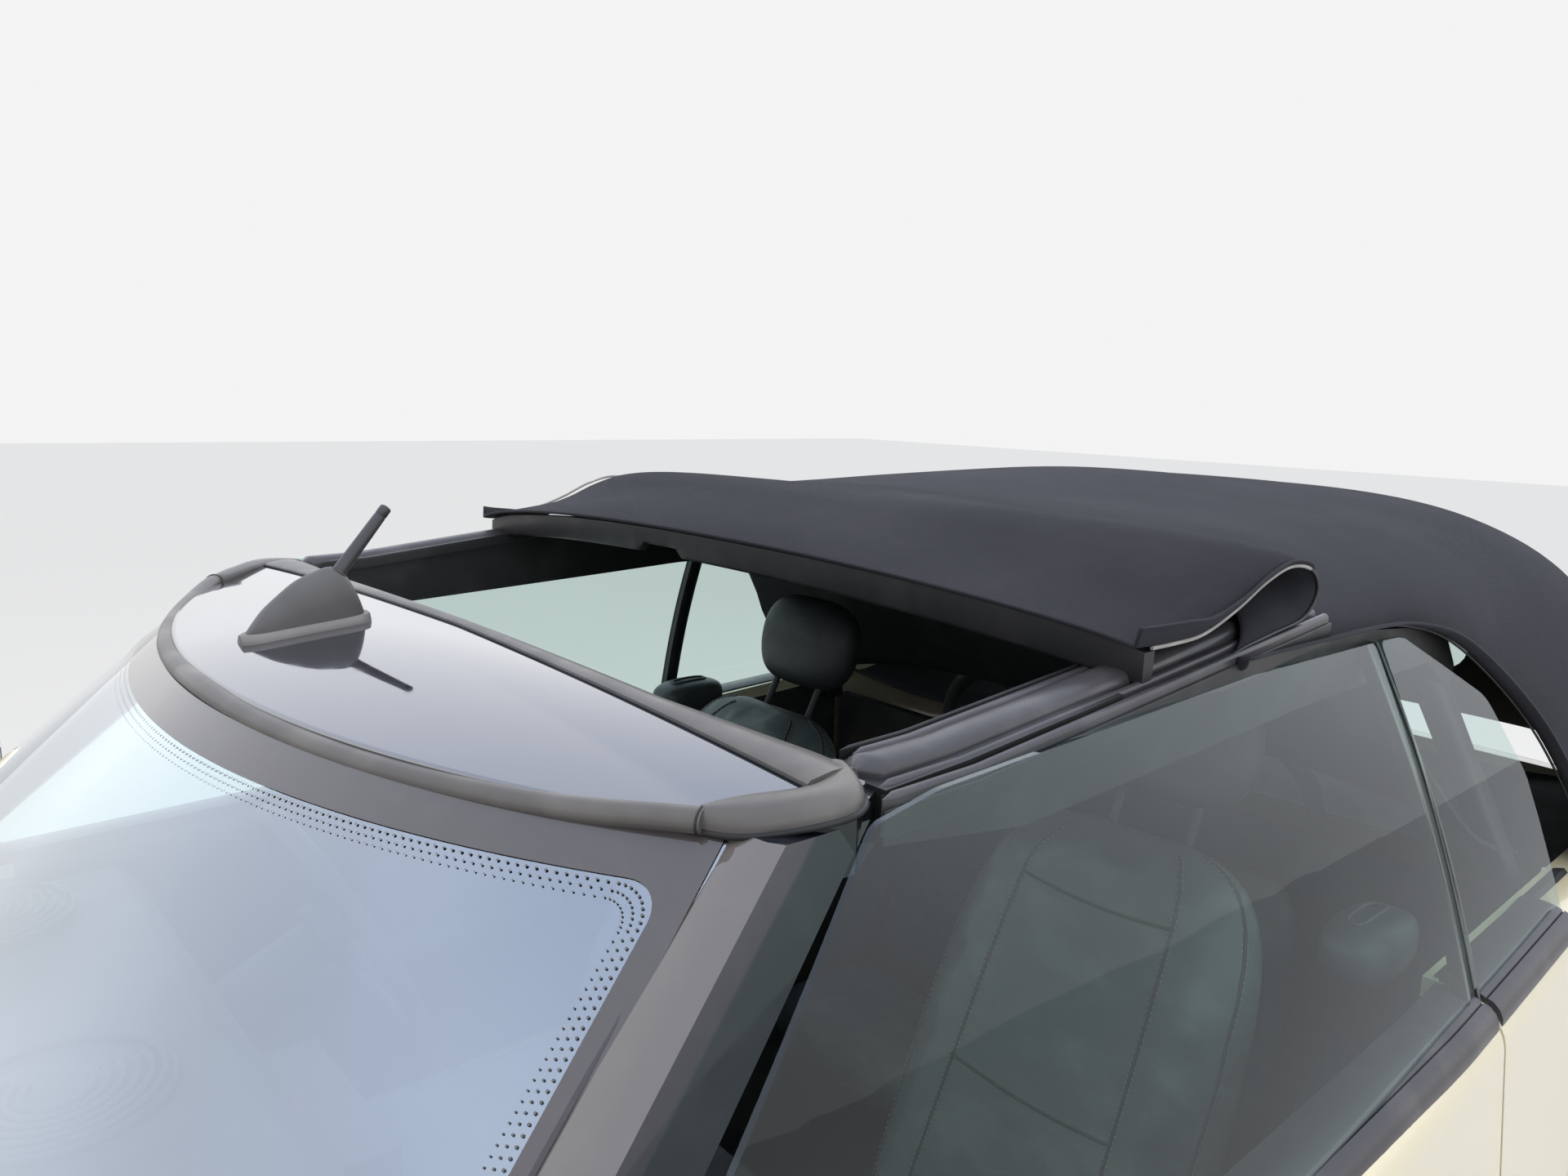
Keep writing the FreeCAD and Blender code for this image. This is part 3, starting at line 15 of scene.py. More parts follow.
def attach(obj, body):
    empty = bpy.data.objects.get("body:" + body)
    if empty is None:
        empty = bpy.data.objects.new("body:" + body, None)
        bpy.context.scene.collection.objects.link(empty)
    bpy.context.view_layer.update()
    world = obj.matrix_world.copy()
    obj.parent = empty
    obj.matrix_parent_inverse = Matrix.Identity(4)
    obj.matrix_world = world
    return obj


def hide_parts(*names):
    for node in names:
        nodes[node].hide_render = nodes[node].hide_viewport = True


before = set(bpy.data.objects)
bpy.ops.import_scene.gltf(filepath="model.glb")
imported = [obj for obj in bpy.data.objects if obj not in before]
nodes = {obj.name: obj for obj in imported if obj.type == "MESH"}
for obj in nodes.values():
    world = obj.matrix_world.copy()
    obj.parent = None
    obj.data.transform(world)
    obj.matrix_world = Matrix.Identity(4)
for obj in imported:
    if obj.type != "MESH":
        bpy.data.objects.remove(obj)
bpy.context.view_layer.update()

AHEAD, ACROSS, UP = Vector((1, 0, 0)), Vector((0, 1, 0)), Vector((0, 0, 1))


def stand(name, data):
    """An object that shows the data, linked to the scene."""
    made = bpy.data.objects.new(name, data)
    bpy.context.scene.collection.objects.link(made)
    return made


# %% [markdown]
# ## The camera
# The photograph was taken by someone tall, standing beside the left front wheel and looking over
# the windscreen towards the far rear corner. A camera could be aimed with a Track To constraint,
# but here its place and its three turns are known, so its matrix is written straight away.

# %% Place the camera
camera_place = Vector((0.62805, 1.11256, 1.59050))
camera_yaw, camera_pitch, camera_roll = radians(228.91), radians(-9.63), radians(1.60)
focal_pixels, photo_width, sensor_millimetres = 1402.7, 1920, 36.0

look = Vector((cos(camera_yaw) * cos(camera_pitch), sin(camera_yaw) * cos(camera_pitch), sin(camera_pitch)))
level = look.cross(UP).normalized()
over = level.cross(look)
right = level * cos(camera_roll) + over * sin(camera_roll)
up = over * cos(camera_roll) - level * sin(camera_roll)

camera_data = bpy.data.cameras.new("photo_camera")
camera_data.sensor_fit = "HORIZONTAL"
camera_data.sensor_width = sensor_millimetres
camera_data.lens = sensor_millimetres * focal_pixels / photo_width
camera_data.clip_start = 0.02
camera = stand("photo_camera", camera_data)
turned = Matrix((right, up, -look)).transposed().to_4x4()
camera.matrix_world = Matrix.Translation(camera_place) @ turned
bpy.context.scene.camera = camera
bpy.context.scene.view_settings.view_transform = "Standard"
print("lens", round(camera_data.lens, 2), "mm, looking", tuple(round(c, 3) for c in look))

# %% [markdown]
# ## Shader sums as Python
# A finish needs sums such as `1 - mask`. Wiring Math nodes by hand hides the sum, so a small class
# wraps a socket: an ordinary expression on two such wires adds the Math nodes by itself. Every
# other kind of node comes from the one method `add`.

# %% A wire that can be used in a sum
class Wire:
    """A shader socket that stands for a value in an expression."""

    def __init__(self, tree, socket=None):
        self.tree = tree
        self.socket = socket

    def add(self, kind, sockets=None, take=0, stops=None, **settings):
        """Adds a node; stops are a ramp's colours and take says which output is wanted."""
        node = self.tree.nodes.new("ShaderNode" + kind)
        for name, value in settings.items():
            setattr(node, name, value)
        if stops:
            ramp = node.color_ramp.elements
            ramp[0].position, ramp[0].color = stops[0][0], tint(stops[0][1])
            ramp[1].position, ramp[1].color = stops[-1][0], tint(stops[-1][1])
            for place, shade in stops[1:-1]:
                ramp.new(place).color = tint(shade)
        for name, value in (sockets or {}).items():
            plug(self.tree, node.inputs[name], value)
        return Wire(self.tree, node.outputs[take])

    def sum(self, operation, *values):
        """What one Math node makes of the values."""
        return self.add("Math", dict(enumerate(values)), operation=operation)

    def __add__(self, other):
        return self.sum("ADD", self, other)

    def __sub__(self, other):
        return self.sum("SUBTRACT", self, other)

    def __rsub__(self, other):
        return self.sum("SUBTRACT", other, self)

    def __mul__(self, other):
        return self.sum("MULTIPLY", self, other)

    __radd__ = __add__
    __rmul__ = __mul__

    def sine(self):
        """The sine of this wire."""
        return self.sum("SINE", self)

    def larger(self, other):
        """The larger one of this wire and the other."""
        return self.sum("MAXIMUM", self, other)

    def between(self, low, high):
        """0 below low, 1 above high, smooth in between."""
        return self.add("MapRange", {"Value": self, "From Min": low, "From Max": high},
                        interpolation_type="SMOOTHSTEP")

    def mix(self, low, high):
        """A colour that goes from low to high as this wire goes from 0 to 1."""
        return self.add("Mix", {0: self, 6: low, 7: high}, take=2, data_type="RGBA")


def tint(shade):
    """A grey or an rgb colour as the four numbers that a socket wants."""
    rgb = (shade,) * 3 if isinstance(shade, (int, float)) else tuple(shade)
    return rgb + (1.0,)


def plug(tree, socket, value):
    """Links a wire to a socket, or writes a plain value on it."""
    if isinstance(value, Wire):
        tree.links.new(value.socket, socket)
    elif socket.type == "RGBA":
        socket.default_value = tint(value)
    else:
        socket.default_value = value


print("wires are ready")

# %% [markdown]
# ## How a finish starts
# Every finish below starts from one Principled shader. What is the same all over the surface is
# written on its sockets; what changes over the surface comes through a wire. `Object` coordinates
# are metres on this car, so a pattern's scale can be given as a real size.

# %% Start a finish
def new_finish(name, **sockets):
    """A material with a Principled shader; words with underscores are its socket names."""
    material = bpy.data.materials.new(name)
    material.use_nodes = True
    tree = material.node_tree
    shader = tree.nodes["Principled BSDF"]
    for key, value in sockets.items():
        plug(tree, shader.inputs[key.replace("_", " ")], value)
    return material, Wire(tree), shader


def metres(wire, stretch=(1.0, 1.0, 1.0)):
    """Object coordinates, stretched where a pattern needs it."""
    place = wire.add("TexCoord", take="Object")
    return wire.add("Mapping", {"Vector": place, "Scale": stretch}, vector_type="POINT")


def grain(wire, size, place=None, detail=3.0):
    """Soft random values between 0 and 1 whose blotches are about size metres across."""
    place = place or metres(wire)
    return wire.add("TexNoise", {"Vector": place, "Scale": 1.0 / size, "Detail": detail}, take="Fac")


def surface(wire, factor, first, second):
    """Shows two shaders, mixed by factor, as the material's surface."""
    mixed = wire.add("MixShader", {0: factor, 1: first, 2: second})
    plug(wire.tree, wire.tree.nodes["Material Output"].inputs["Surface"], mixed)


def relief(wire, shader, height, depth):
    """Turns a height pattern into the shader's bump, depth in metres."""
    bump = wire.add("Bump", {"Height": height, "Strength": 1.0, "Distance": depth})
    plug(wire.tree, shader.inputs["Normal"], bump)


print("finishes start from a Principled shader")

# %% [markdown]
# ## The hard finishes
# The body is a pale cream enamel under clear lacquer. Real lacquer is never quite flat, so a very
# shallow ripple bends its reflections a little. The black plastics carry a fine moulded grain, and
# the rubber is paler where hands and weather have rubbed it.

# %% Cream paint and gloss black
def make_paint():
    """Cream enamel under clear lacquer."""
    material, wire, shader = new_finish("cream_paint", Coat_Weight=1.0, Coat_Roughness=0.04)
    cloud = grain(wire, 0.6)
    plug(wire.tree, shader.inputs["Base Color"], cloud.mix((0.70, 0.640, 0.465), (0.74, 0.680, 0.505)))
    plug(wire.tree, shader.inputs["Roughness"], grain(wire, 0.05) * 0.08 + 0.34)
    relief(wire, shader, grain(wire, 0.006, detail=1.0), 0.000012)
    return material


def make_gloss_black(name, shade, ripple):
    """Polished black; ripple is the depth of its waves in metres."""
    material, wire, shader = new_finish(name, Coat_Weight=0.6, Coat_Roughness=0.02)
    dust = grain(wire, 0.03, detail=6.0).between(0.45, 0.75)
    plug(wire.tree, shader.inputs["Base Color"], dust.mix(shade, tuple(c + 0.006 for c in shade)))
    plug(wire.tree, shader.inputs["Roughness"], dust * 0.07 + 0.04)
    relief(wire, shader, grain(wire, 0.02, detail=1.0), ripple)
    return material


cream_paint = make_paint()
gloss_black = make_gloss_black("gloss_black", (0.010, 0.010, 0.013), 0.00001)
print("made", cream_paint.name, "and", gloss_black.name)

# %% Moulded plastics and rubber
def make_moulded(name, shade, pale, rough, size=0.0012, depth=0.00006, wear=0.07):
    """A matt or satin moulding: fine grain, with rubbed paler clouds."""
    material, wire, shader = new_finish(name, Specular_IOR_Level=0.45)
    rubbed = grain(wire, wear, detail=5.0).between(0.42, 0.72)
    plug(wire.tree, shader.inputs["Base Color"], rubbed.mix(shade, pale))
    pits = grain(wire, size, detail=2.0)
    plug(wire.tree, shader.inputs["Roughness"], pits * 0.12 + rubbed * -0.06 + rough)
    relief(wire, shader, pits, depth)
    return material


dark_rubber = make_moulded("dark_rubber", (0.012, 0.012, 0.013), (0.026, 0.026, 0.027), 0.42, 0.0010, 0.00003)
black_plastic = make_moulded("black_plastic", (0.022, 0.022, 0.024), (0.036, 0.036, 0.037),
                             0.50, 0.0016, 0.00009)
cabin_plastic = make_moulded("cabin_plastic", (0.030, 0.031, 0.033), (0.044, 0.045, 0.047),
                             0.55, 0.0020, 0.00014)
tyre_black = make_moulded("tyre_black", (0.016, 0.016, 0.016), (0.036, 0.034, 0.032),
                          0.78, 0.0030, 0.0001, 0.12)
floor_enamel = make_moulded("floor_enamel", (0.030, 0.030, 0.032), (0.075, 0.068, 0.058),
                            0.62, 0.004, 0.0002, 0.2)
print("made the moulded finishes")

# %% Metals
def make_metal(name, shade, pale, rough, size, depth):
    """Metal whose fine streaks run between the colours shade and pale."""
    material, wire, shader = new_finish(name, Metallic=1.0)
    streak = grain(wire, size, detail=4.0)
    plug(wire.tree, shader.inputs["Base Color"], streak.mix(shade, pale))
    plug(wire.tree, shader.inputs["Roughness"], streak * 0.14 + rough)
    relief(wire, shader, streak, depth)
    return material


alloy_silver = make_metal("alloy_silver", (0.52, 0.52, 0.53), (0.62, 0.62, 0.63), 0.26, 0.002, 0.000015)
bright_steel = make_metal("bright_steel", (0.60, 0.60, 0.61), (0.72, 0.72, 0.73), 0.12, 0.004, 0.000008)
cast_metal = make_metal("cast_metal", (0.20, 0.20, 0.21), (0.38, 0.38, 0.39), 0.48, 0.003, 0.0002)
turned_steel = make_metal("turned_steel", (0.36, 0.35, 0.34), (0.52, 0.50, 0.48), 0.30, 0.0015, 0.00004)
print("made the metals")

# %% [markdown]
# ## Glass
# A pane is so thin that it hardly bends the light, so each face is a mix of two simple shaders:
# a Transparent one, tinted a little green, lets light and shadow rays through, and a mirror adds
# the reflection. A Fresnel node mixes them, as a real pane mirrors more at a glancing angle. From
# inside the pane it would mirror everything, so only the face towards the viewer reflects.

# %% Window glass
def make_glass(name, shade, haze, shine=0.0):
    """Thin tinted glass; haze is what dust scatters back and shine is added to the mirroring."""
    material, wire, shader = new_finish(name, Base_Color=(0.86, 0.91, 0.95), Roughness=0.02, Metallic=1.0)
    clear = wire.add("BsdfTransparent", {"Color": shade})
    edge = wire.add("Fresnel", {"IOR": 1.5})
    film = grain(wire, 0.30, detail=1.0).between(0.3, 0.8) * haze
    towards = 1 - wire.add("NewGeometry", take="Backfacing")
    mirrored = (edge * 1.15 + film + shine) * towards
    surface(wire, mirrored, clear, Wire(wire.tree, shader.outputs[0]))
    return material


side_glass_tint = make_glass("side_glass_tint", (0.80, 0.88, 0.86), 0.008)
screen_tint = make_glass("screen_tint", (0.90, 0.94, 0.93), 0.10, 0.28)
print("made", side_glass_tint.name, "and", screen_tint.name)

# %% Lamp lenses
def make_lens(name, low, high, metallic, ribs):
    """A lens over a reflector: bright ribs behind a clear lacquer."""
    material, wire, shader = new_finish(name, Metallic=metallic, Coat_Weight=1.0, Coat_Roughness=0.02)
    place = wire.add("SeparateXYZ", {0: metres(wire)}, take=1)
    wave = (place * (2 * pi / ribs)).sine()
    plug(wire.tree, shader.inputs["Base Color"], wave.between(-0.8, 0.8).mix(low, high))
    plug(wire.tree, shader.inputs["Roughness"], grain(wire, 0.01) * 0.10 + 0.12)
    relief(wire, shader, wave, 0.0006)
    return material


lamp_red = make_lens("lamp_red", (0.30, 0.006, 0.006), (0.52, 0.020, 0.018), 0.0, 0.008)
lamp_chrome = make_lens("lamp_chrome", (0.62, 0.64, 0.66), (0.84, 0.86, 0.88), 0.80, 0.010)
print("made the lamp lenses")

# %% [markdown]
# ## Studio
# The floor, the backdrop and the world are plain and pale. The world's top is a little bluer than
# its foot, which is what polished black panels pick up. Camera, glossy and transmission rays see
# the pale side of each, while the light on the object stays at a plain level.

# %% World, lamps and floor
def pale_backdrop(name, lit, shown):
    """A material that is a normal matt surface but looks plain pale to the camera and in gloss."""
    material, wire, shader = new_finish(name, Roughness=0.9)
    plug(wire.tree, shader.inputs["Base Color"], lit)
    glow = wire.add("Emission", {"Color": shown, "Strength": 1.0})
    seen = wire.add("LightPath", take="Is Camera Ray")
    glossy = wire.add("LightPath", take="Is Glossy Ray")
    passed = wire.add("LightPath", take="Is Transmission Ray")
    share = seen.larger(glossy.larger(passed)) * 0.72
    surface(wire, share, Wire(wire.tree, shader.outputs[0]), glow)
    return material


def make_world():
    """The pale room; the camera and the reflections see it brighter than it lights the object."""
    world = bpy.data.worlds.new("pale_room")
    world.use_nodes = True
    tree = world.node_tree
    wire = Wire(tree)
    direction = wire.add("TexCoord", take="Generated")
    height = wire.add("SeparateXYZ", {0: direction}, take=2)
    sky = wire.add("ValToRGB", {0: height * 0.5 + 0.5}, stops=(
        (0.0, 0.55), (0.50, (0.62, 0.62, 0.62)), (0.60, (0.88, 0.89, 0.92)), (0.80, (0.74, 0.80, 0.94)),
        (1.0, (0.55, 0.66, 0.90))))
    backdrop = wire.add("Background", {"Color": 0.90, "Strength": 1.0})
    mirrored = wire.add("Background", {"Color": sky, "Strength": 1.7})
    lighting = wire.add("Background", {"Color": (0.93, 0.96, 1.0), "Strength": 0.55})
    seen = wire.add("LightPath", take="Is Camera Ray")
    glossy = wire.add("LightPath", take="Is Glossy Ray")
    passed = wire.add("LightPath", take="Is Transmission Ray")
    first = wire.add("MixShader", {0: glossy.larger(passed), 1: lighting, 2: mirrored})
    last = wire.add("MixShader", {0: seen, 1: first, 2: backdrop})
    plug(tree, tree.nodes["World Output"].inputs["Surface"], last)
    bpy.context.scene.world = world


def lamp(name, place, aim, size, watts, shade=(1.0, 1.0, 1.0)):
    """A rectangular light at place that shines towards aim and doesn't show in reflections."""
    data = bpy.data.lights.new(name, "AREA")
    data.shape = "RECTANGLE"
    data.size, data.size_y = size
    data.energy = watts
    data.color = shade
    made = stand(name, data)
    made.visible_glossy = False
    turn = (Vector(aim) - Vector(place)).to_track_quat("-Z", "Y").to_matrix().to_4x4()
    made.matrix_world = Matrix.Translation(place) @ turn


make_world()
lamp("ceiling_light", (0.5, 0.6, 5.2), (0, 0, 0.8), (5.0, 4.0), 170.0, (1.0, 0.99, 0.97))
lamp("left_light", (1.5, 5.0, 3.0), (-0.3, 0, 0.9), (3.5, 2.5), 90.0)
lamp("rear_light", (-5.5, -2.5, 3.2), (-0.5, 0, 1.0), (3.5, 2.5), 80.0)

floor_mesh = bpy.data.meshes.new("studio_floor")
plane = bmesh.new()
bmesh.ops.create_grid(plane, x_segments=1, y_segments=1, size=30.0)
plane.to_mesh(floor_mesh)
plane.free()
studio_floor = stand("studio_floor", floor_mesh)
studio_floor.data.materials.append(pale_backdrop("pale_floor", 0.80, 0.9))
print("studio lit")

# %% [markdown]
# ## Finishes for the parts that stay
# Each rigid part of the frame keeps its own shape and only changes its finish. A table of names
# is easier to read and to correct than fifty separate lines.

# %% Give each part its finish
FINISHES = {
    cream_paint: "front_wings bonnet cowl_panel rear_quarters boot_lid door_left door_right "
                 "front_bumper rear_bumper mirror_left mirror_right",
    gloss_black: "windscreen_frame header_cover",
    black_plastic: "arch_trims sill_trims grille wheel_liners radiator antenna",
    cabin_plastic: "dashboard centre_console rear_seat seat_front_left seat_front_right steering_wheel "
                   "roll_hoops",
    lamp_red: "tail_lamps",
    lamp_chrome: "headlamps",
    dark_rubber: "roof_rails soft_top_bow soft_top_canopy",
    floor_enamel: "floor_pan front_frame front_subframe rear_axle",
    alloy_silver: "rim_front_left rim_front_right rim_rear_left rim_rear_right",
    cast_metal: "engine_block knuckle_left knuckle_right",
    turned_steel: "exhaust",
    tyre_black: "tyre_front_left tyre_front_right tyre_rear_left tyre_rear_right",
    side_glass_tint: "door_glass_left door_glass_right quarter_glass rear_window",
    screen_tint: "windscreen",
}


def give(node_name, material):
    """Puts one material on every slot of a part."""
    slots = nodes[node_name].data.materials
    slots.clear()
    slots.append(material)


for material, names in FINISHES.items():
    for name in names.split():
        give(name, material)
print("finishes given to", sum(len(names.split()) for names in FINISHES.values()), "parts")

# %% [markdown]
# ## Helpers for smooth shapes
# Curved cloth and soft pads follow lines that pass smoothly through a few measured points. A
# Catmull-Rom spline does that: each stretch leans on the two points before it and the two after.
# The tables below name their columns, so that one number can be corrected by itself.

# %% A line through a table of points
def clamp(value):
    """The value, kept between 0 and 1."""
    return min(max(value, 0.0), 1.0)


def spread(low, high, count):
    """Evenly spaced values from low to high."""
    return [low + (high - low) * k / (count - 1) for k in range(count)]


def turns(count):
    """Evenly spaced angles, once round."""
    return spread(0, 2 * pi, count + 1)[:-1]


def oval(middle, first, second, count):
    """A closed ring of points round middle, with first and second as its half axes."""
    return [middle + first * cos(turn) + second * sin(turn) for turn in turns(count)]


def squarish(count, power):
    """Two coordinates from -1 to 1 on a circle that is squared off more the smaller power is."""
    return [[copysign(abs(f(turn)) ** power, f(turn)) for f in (cos, sin)] for turn in turns(count)]


def through(rows, share):
    """The row at share (0 to 1) of the way down a table, eased between its neighbours."""
    place = clamp(share) * (len(rows) - 1)
    i = min(int(place), len(rows) - 2)
    t = place - i
    a, b, c, d = (rows[min(max(k, 0), len(rows) - 1)] for k in (i - 1, i, i + 1, i + 2))
    return [0.5 * (2 * q + (r - p) * t + (2 * p - 5 * q + 4 * r - s) * t * t
                   + (3 * q - p - 3 * r + s) * t ** 3) for p, q, r, s in zip(a, b, c, d)]


def read_off(rows, count, first=0.0, last=1.0):
    """Evenly spaced rows of a table, from its share first to its share last."""
    return [through(rows, share) for share in spread(first, last, count)]


def bent(start, first, second, end, t):
    """A point of the cubic curve that leaves start towards first and comes to end from second."""
    return (start * (1 - t) ** 3 + first * (3 * t * (1 - t) ** 2)
            + second * (3 * t * t * (1 - t)) + end * t ** 3)


def dressed(name, mesh, material, body):
    """A smooth piece in one finish that rides on a body."""
    mesh.shade_smooth()
    piece = stand(name, mesh)
    mesh.materials.clear()
    mesh.materials.append(material)
    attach(piece, body)
    return piece


def new_piece(name, mesh_maker, material, body="body"):
    """A piece from a bmesh."""
    mesh = bpy.data.meshes.new(name)
    mesh_maker.to_mesh(mesh)
    mesh_maker.free()
    return dressed(name, mesh, material, body)


def modify(piece, kind, **settings):
    """Adds a modifier with its settings."""
    made = piece.modifiers.new(kind.lower(), kind)
    for key, value in settings.items():
        setattr(made, key, value)
    return made


def apply_all(piece):
    """Writes the result of a piece's modifiers into its mesh."""
    graph = bpy.context.evaluated_depsgraph_get()
    done = bpy.data.meshes.new_from_object(piece.evaluated_get(graph))
    piece.modifiers.clear()
    old, piece.data = piece.data, done
    bpy.data.meshes.remove(old)


def tube(name, points, radius, material, body="body", closed=False, sides=6):
    """A round bead along a smooth line."""
    line = bpy.data.curves.new(name, "CURVE")
    line.dimensions = "3D"
    spline = line.splines.new("NURBS")
    spline.points.add(len(points) - 1)
    for knot, place in zip(spline.points, points):
        knot.co = (*place, 1.0)
    spline.order_u = 3
    spline.use_endpoint_u = not closed
    spline.use_cyclic_u = closed
    line.bevel_depth = radius
    line.bevel_resolution = sides // 2 - 1
    line.resolution_u = 4
    line.use_fill_caps = True
    holder = stand(name, line)
    mesh = bpy.data.meshes.new_from_object(holder.evaluated_get(bpy.context.evaluated_depsgraph_get()))
    bpy.data.objects.remove(holder)
    return dressed(name, mesh, material, body)


def mirror_over(pieces):
    """The same pieces on the car's other side, as their own objects."""
    twins = []
    for piece in pieces:
        twin = piece.copy()
        twin.data = piece.data.copy()
        twin.name = piece.name.replace("_left", "_right")
        bpy.context.scene.collection.objects.link(twin)
        twin.data.transform(Matrix.Scale(-1, 4, (0, 1, 0)))
        twin.data.flip_normals()
        twins.append(twin)
    return twins


print("helpers are ready")

# %% [markdown]
# ## The soft top's cloth
# A soft top is sewn from tightly woven acrylic cloth over a rubber core. Its weave is a millimetre
# fine, it has hardly any shine, and it shows dust as soft pale clouds and rubbed streaks. The
# pattern reads the cloth's own UV map, laid out in metres, so that it bends round the fold.

# %% Roof cloth and piping
def make_cloth(name, shade, dusty, weave, depth, sheen):
    """Woven cloth; weave is the length of one repeat of its threads in metres."""
    material, wire, shader = new_finish(name, Sheen_Weight=sheen, Sheen_Roughness=0.45,
                                        Specular_IOR_Level=0.25)
    shader.inputs["Sheen Tint"].default_value = (0.80, 0.84, 1.0, 1.0)
    place = wire.add("TexCoord", take="UV")
    bend = wire.add("SeparateXYZ", {0: place})
    along = wire.add("SeparateXYZ", {0: place}, take=1)
    threads = (bend * (2 * pi / weave)).sine() * (along * (2 * pi / weave)).sine()
    fuzz = grain(wire, weave * 2.2, place, detail=4.0)
    cloud = grain(wire, 0.16, metres(wire, (1.0, 0.6, 1.0)), detail=6.0).between(0.38, 0.76)
    rubbed = grain(wire, 0.035, metres(wire, (0.35, 1.6, 1.0)), detail=8.0).between(0.55, 0.86)
    dust = cloud * 0.55 + rubbed * 0.35 + fuzz * 0.30
    plug(wire.tree, shader.inputs["Base Color"], dust.mix(shade, dusty))
    plug(wire.tree, shader.inputs["Roughness"], fuzz * 0.10 + 0.80)
    relief(wire, shader, threads * 0.5 + fuzz, depth)
    return material


roof_cloth = make_cloth("roof_cloth", (0.012, 0.012, 0.015), (0.034, 0.034, 0.040), 0.0016, 0.0005, 0.10)
pale_piping = make_moulded("pale_piping", (0.30, 0.29, 0.28), (0.46, 0.45, 0.44), 0.5, 0.0015, 0.0001, 0.03)
print("made the roof's cloth and piping")

# %% [markdown]
# ## The soft top, pushed back
# The cloth is one sheet. Its front edge has slid back by about 28 centimetres, so the slack stands
# up near each side rail as an S-shaped fold, lower on the far side, and dies out towards the
# middle. It could be simulated, but the fold's place is known, so each row of the grid is a curve
# from the middle over the shoulder to the edge, and only the edge runs back and forth.

# %% Stations of the roof cloth
# The columns are the middle's x and z; the first and the second lead point's y and z and the
# second's x; and the edge's x, y and z.
ROOF_STATIONS = (
    (-0.190, 1.4200, 0.34, 1.421, -0.208, 0.560, 1.397, -0.214, 0.598, 1.3860),
    (-0.230, 1.4330, 0.34, 1.433, -0.250, 0.565, 1.404, -0.262, 0.604, 1.3875),
    (-0.280, 1.4460, 0.34, 1.445, -0.296, 0.570, 1.414, -0.310, 0.606, 1.3910),
    (-0.320, 1.4540, 0.34, 1.454, -0.340, 0.575, 1.430, -0.365, 0.607, 1.4080),
    (-0.355, 1.4600, 0.34, 1.462, -0.384, 0.578, 1.450, -0.415, 0.608, 1.4290),
    (-0.390, 1.4630, 0.34, 1.467, -0.424, 0.580, 1.464, -0.463, 0.608, 1.4400),
    (-0.425, 1.4640, 0.34, 1.468, -0.456, 0.580, 1.466, -0.507, 0.608, 1.4330),
    (-0.455, 1.4640, 0.34, 1.466, -0.470, 0.580, 1.456, -0.522, 0.608, 1.4090),
    (-0.480, 1.4630, 0.34, 1.463, -0.476, 0.580, 1.440, -0.497, 0.608, 1.3850),
    (-0.505, 1.4620, 0.34, 1.461, -0.480, 0.580, 1.428, -0.435, 0.608, 1.3760),
    (-0.530, 1.4610, 0.34, 1.460, -0.488, 0.582, 1.420, -0.376, 0.608, 1.3680),
    (-0.555, 1.4600, 0.34, 1.459, -0.505, 0.584, 1.415, -0.360, 0.608, 1.3600),
    (-0.590, 1.4590, 0.34, 1.459, -0.535, 0.588, 1.414, -0.395, 0.608, 1.3550),
    (-0.660, 1.4585, 0.34, 1.459, -0.610, 0.594, 1.417, -0.510, 0.610, 1.3560),
    (-0.760, 1.4600, 0.34, 1.460, -0.715, 0.600, 1.420, -0.640, 0.612, 1.3570),
    (-0.900, 1.4650, 0.34, 1.465, -0.840, 0.606, 1.422, -0.740, 0.614, 1.3510),
    (-1.020, 1.4680, 0.35, 1.468, -0.960, 0.612, 1.425, -0.850, 0.622, 1.3250),
    (-1.130, 1.4690, 0.37, 1.470, -1.075, 0.625, 1.430, -0.955, 0.642, 1.2680),
    (-1.230, 1.4670, 0.40, 1.470, -1.185, 0.645, 1.437, -1.050, 0.670, 1.1900),
    (-1.320, 1.4600, 0.44, 1.468, -1.290, 0.665, 1.445, -1.112, 0.702, 1.1000),
    (-1.400, 1.4460, 0.48, 1.462, -1.385, 0.680, 1.450, -1.160, 0.738, 0.9980),
    (-1.475, 1.4020, 0.50, 1.425, -1.470, 0.680, 1.430, -1.270, 0.732, 1.0010),
    (-1.545, 1.3250, 0.50, 1.350, -1.545, 0.670, 1.360, -1.390, 0.720, 1.0060),
    (-1.610, 1.2200, 0.48, 1.240, -1.610, 0.655, 1.250, -1.510, 0.700, 1.0110),
    (-1.660, 1.1150, 0.46, 1.125, -1.665, 0.640, 1.130, -1.610, 0.675, 1.0140),
    (-1.690, 1.0400, 0.42, 1.040, -1.692, 0.600, 1.040, -1.680, 0.640, 1.0160),
)
# The far side's edge and fold lie lower by these heights, up to these shares of the length.
far_edge_drop, far_fold_drop = 0.007, 0.034
far_fold_end, far_drop_end = 0.52, 0.6
# The steps along and across the cloth over which its normal is measured.
step_along, step_across = 0.002, 0.02


def roof_point(share, across):
    """The cloth at a share of its length and at across, 0 in the middle and 1 at the edge."""
    mx, mz, y1, z1, x2, y2, z2, ex, ey, ez = through(ROOF_STATIONS, share)
    spot = bent(Vector((mx, 0, mz)), Vector((mx, y1, z1)), Vector((x2, y2, z2)), Vector((ex, ey, ez)),
                min(abs(across), 1.0))
    if across >= 0:
        return spot
    fold = sin(pi * clamp(share / far_fold_end))
    fading = 1 - min(share, far_drop_end) / far_drop_end
    drop = (far_edge_drop + far_fold_drop * fold) * across * across * fading
    return Vector((spot.x, -spot.y, spot.z - drop))


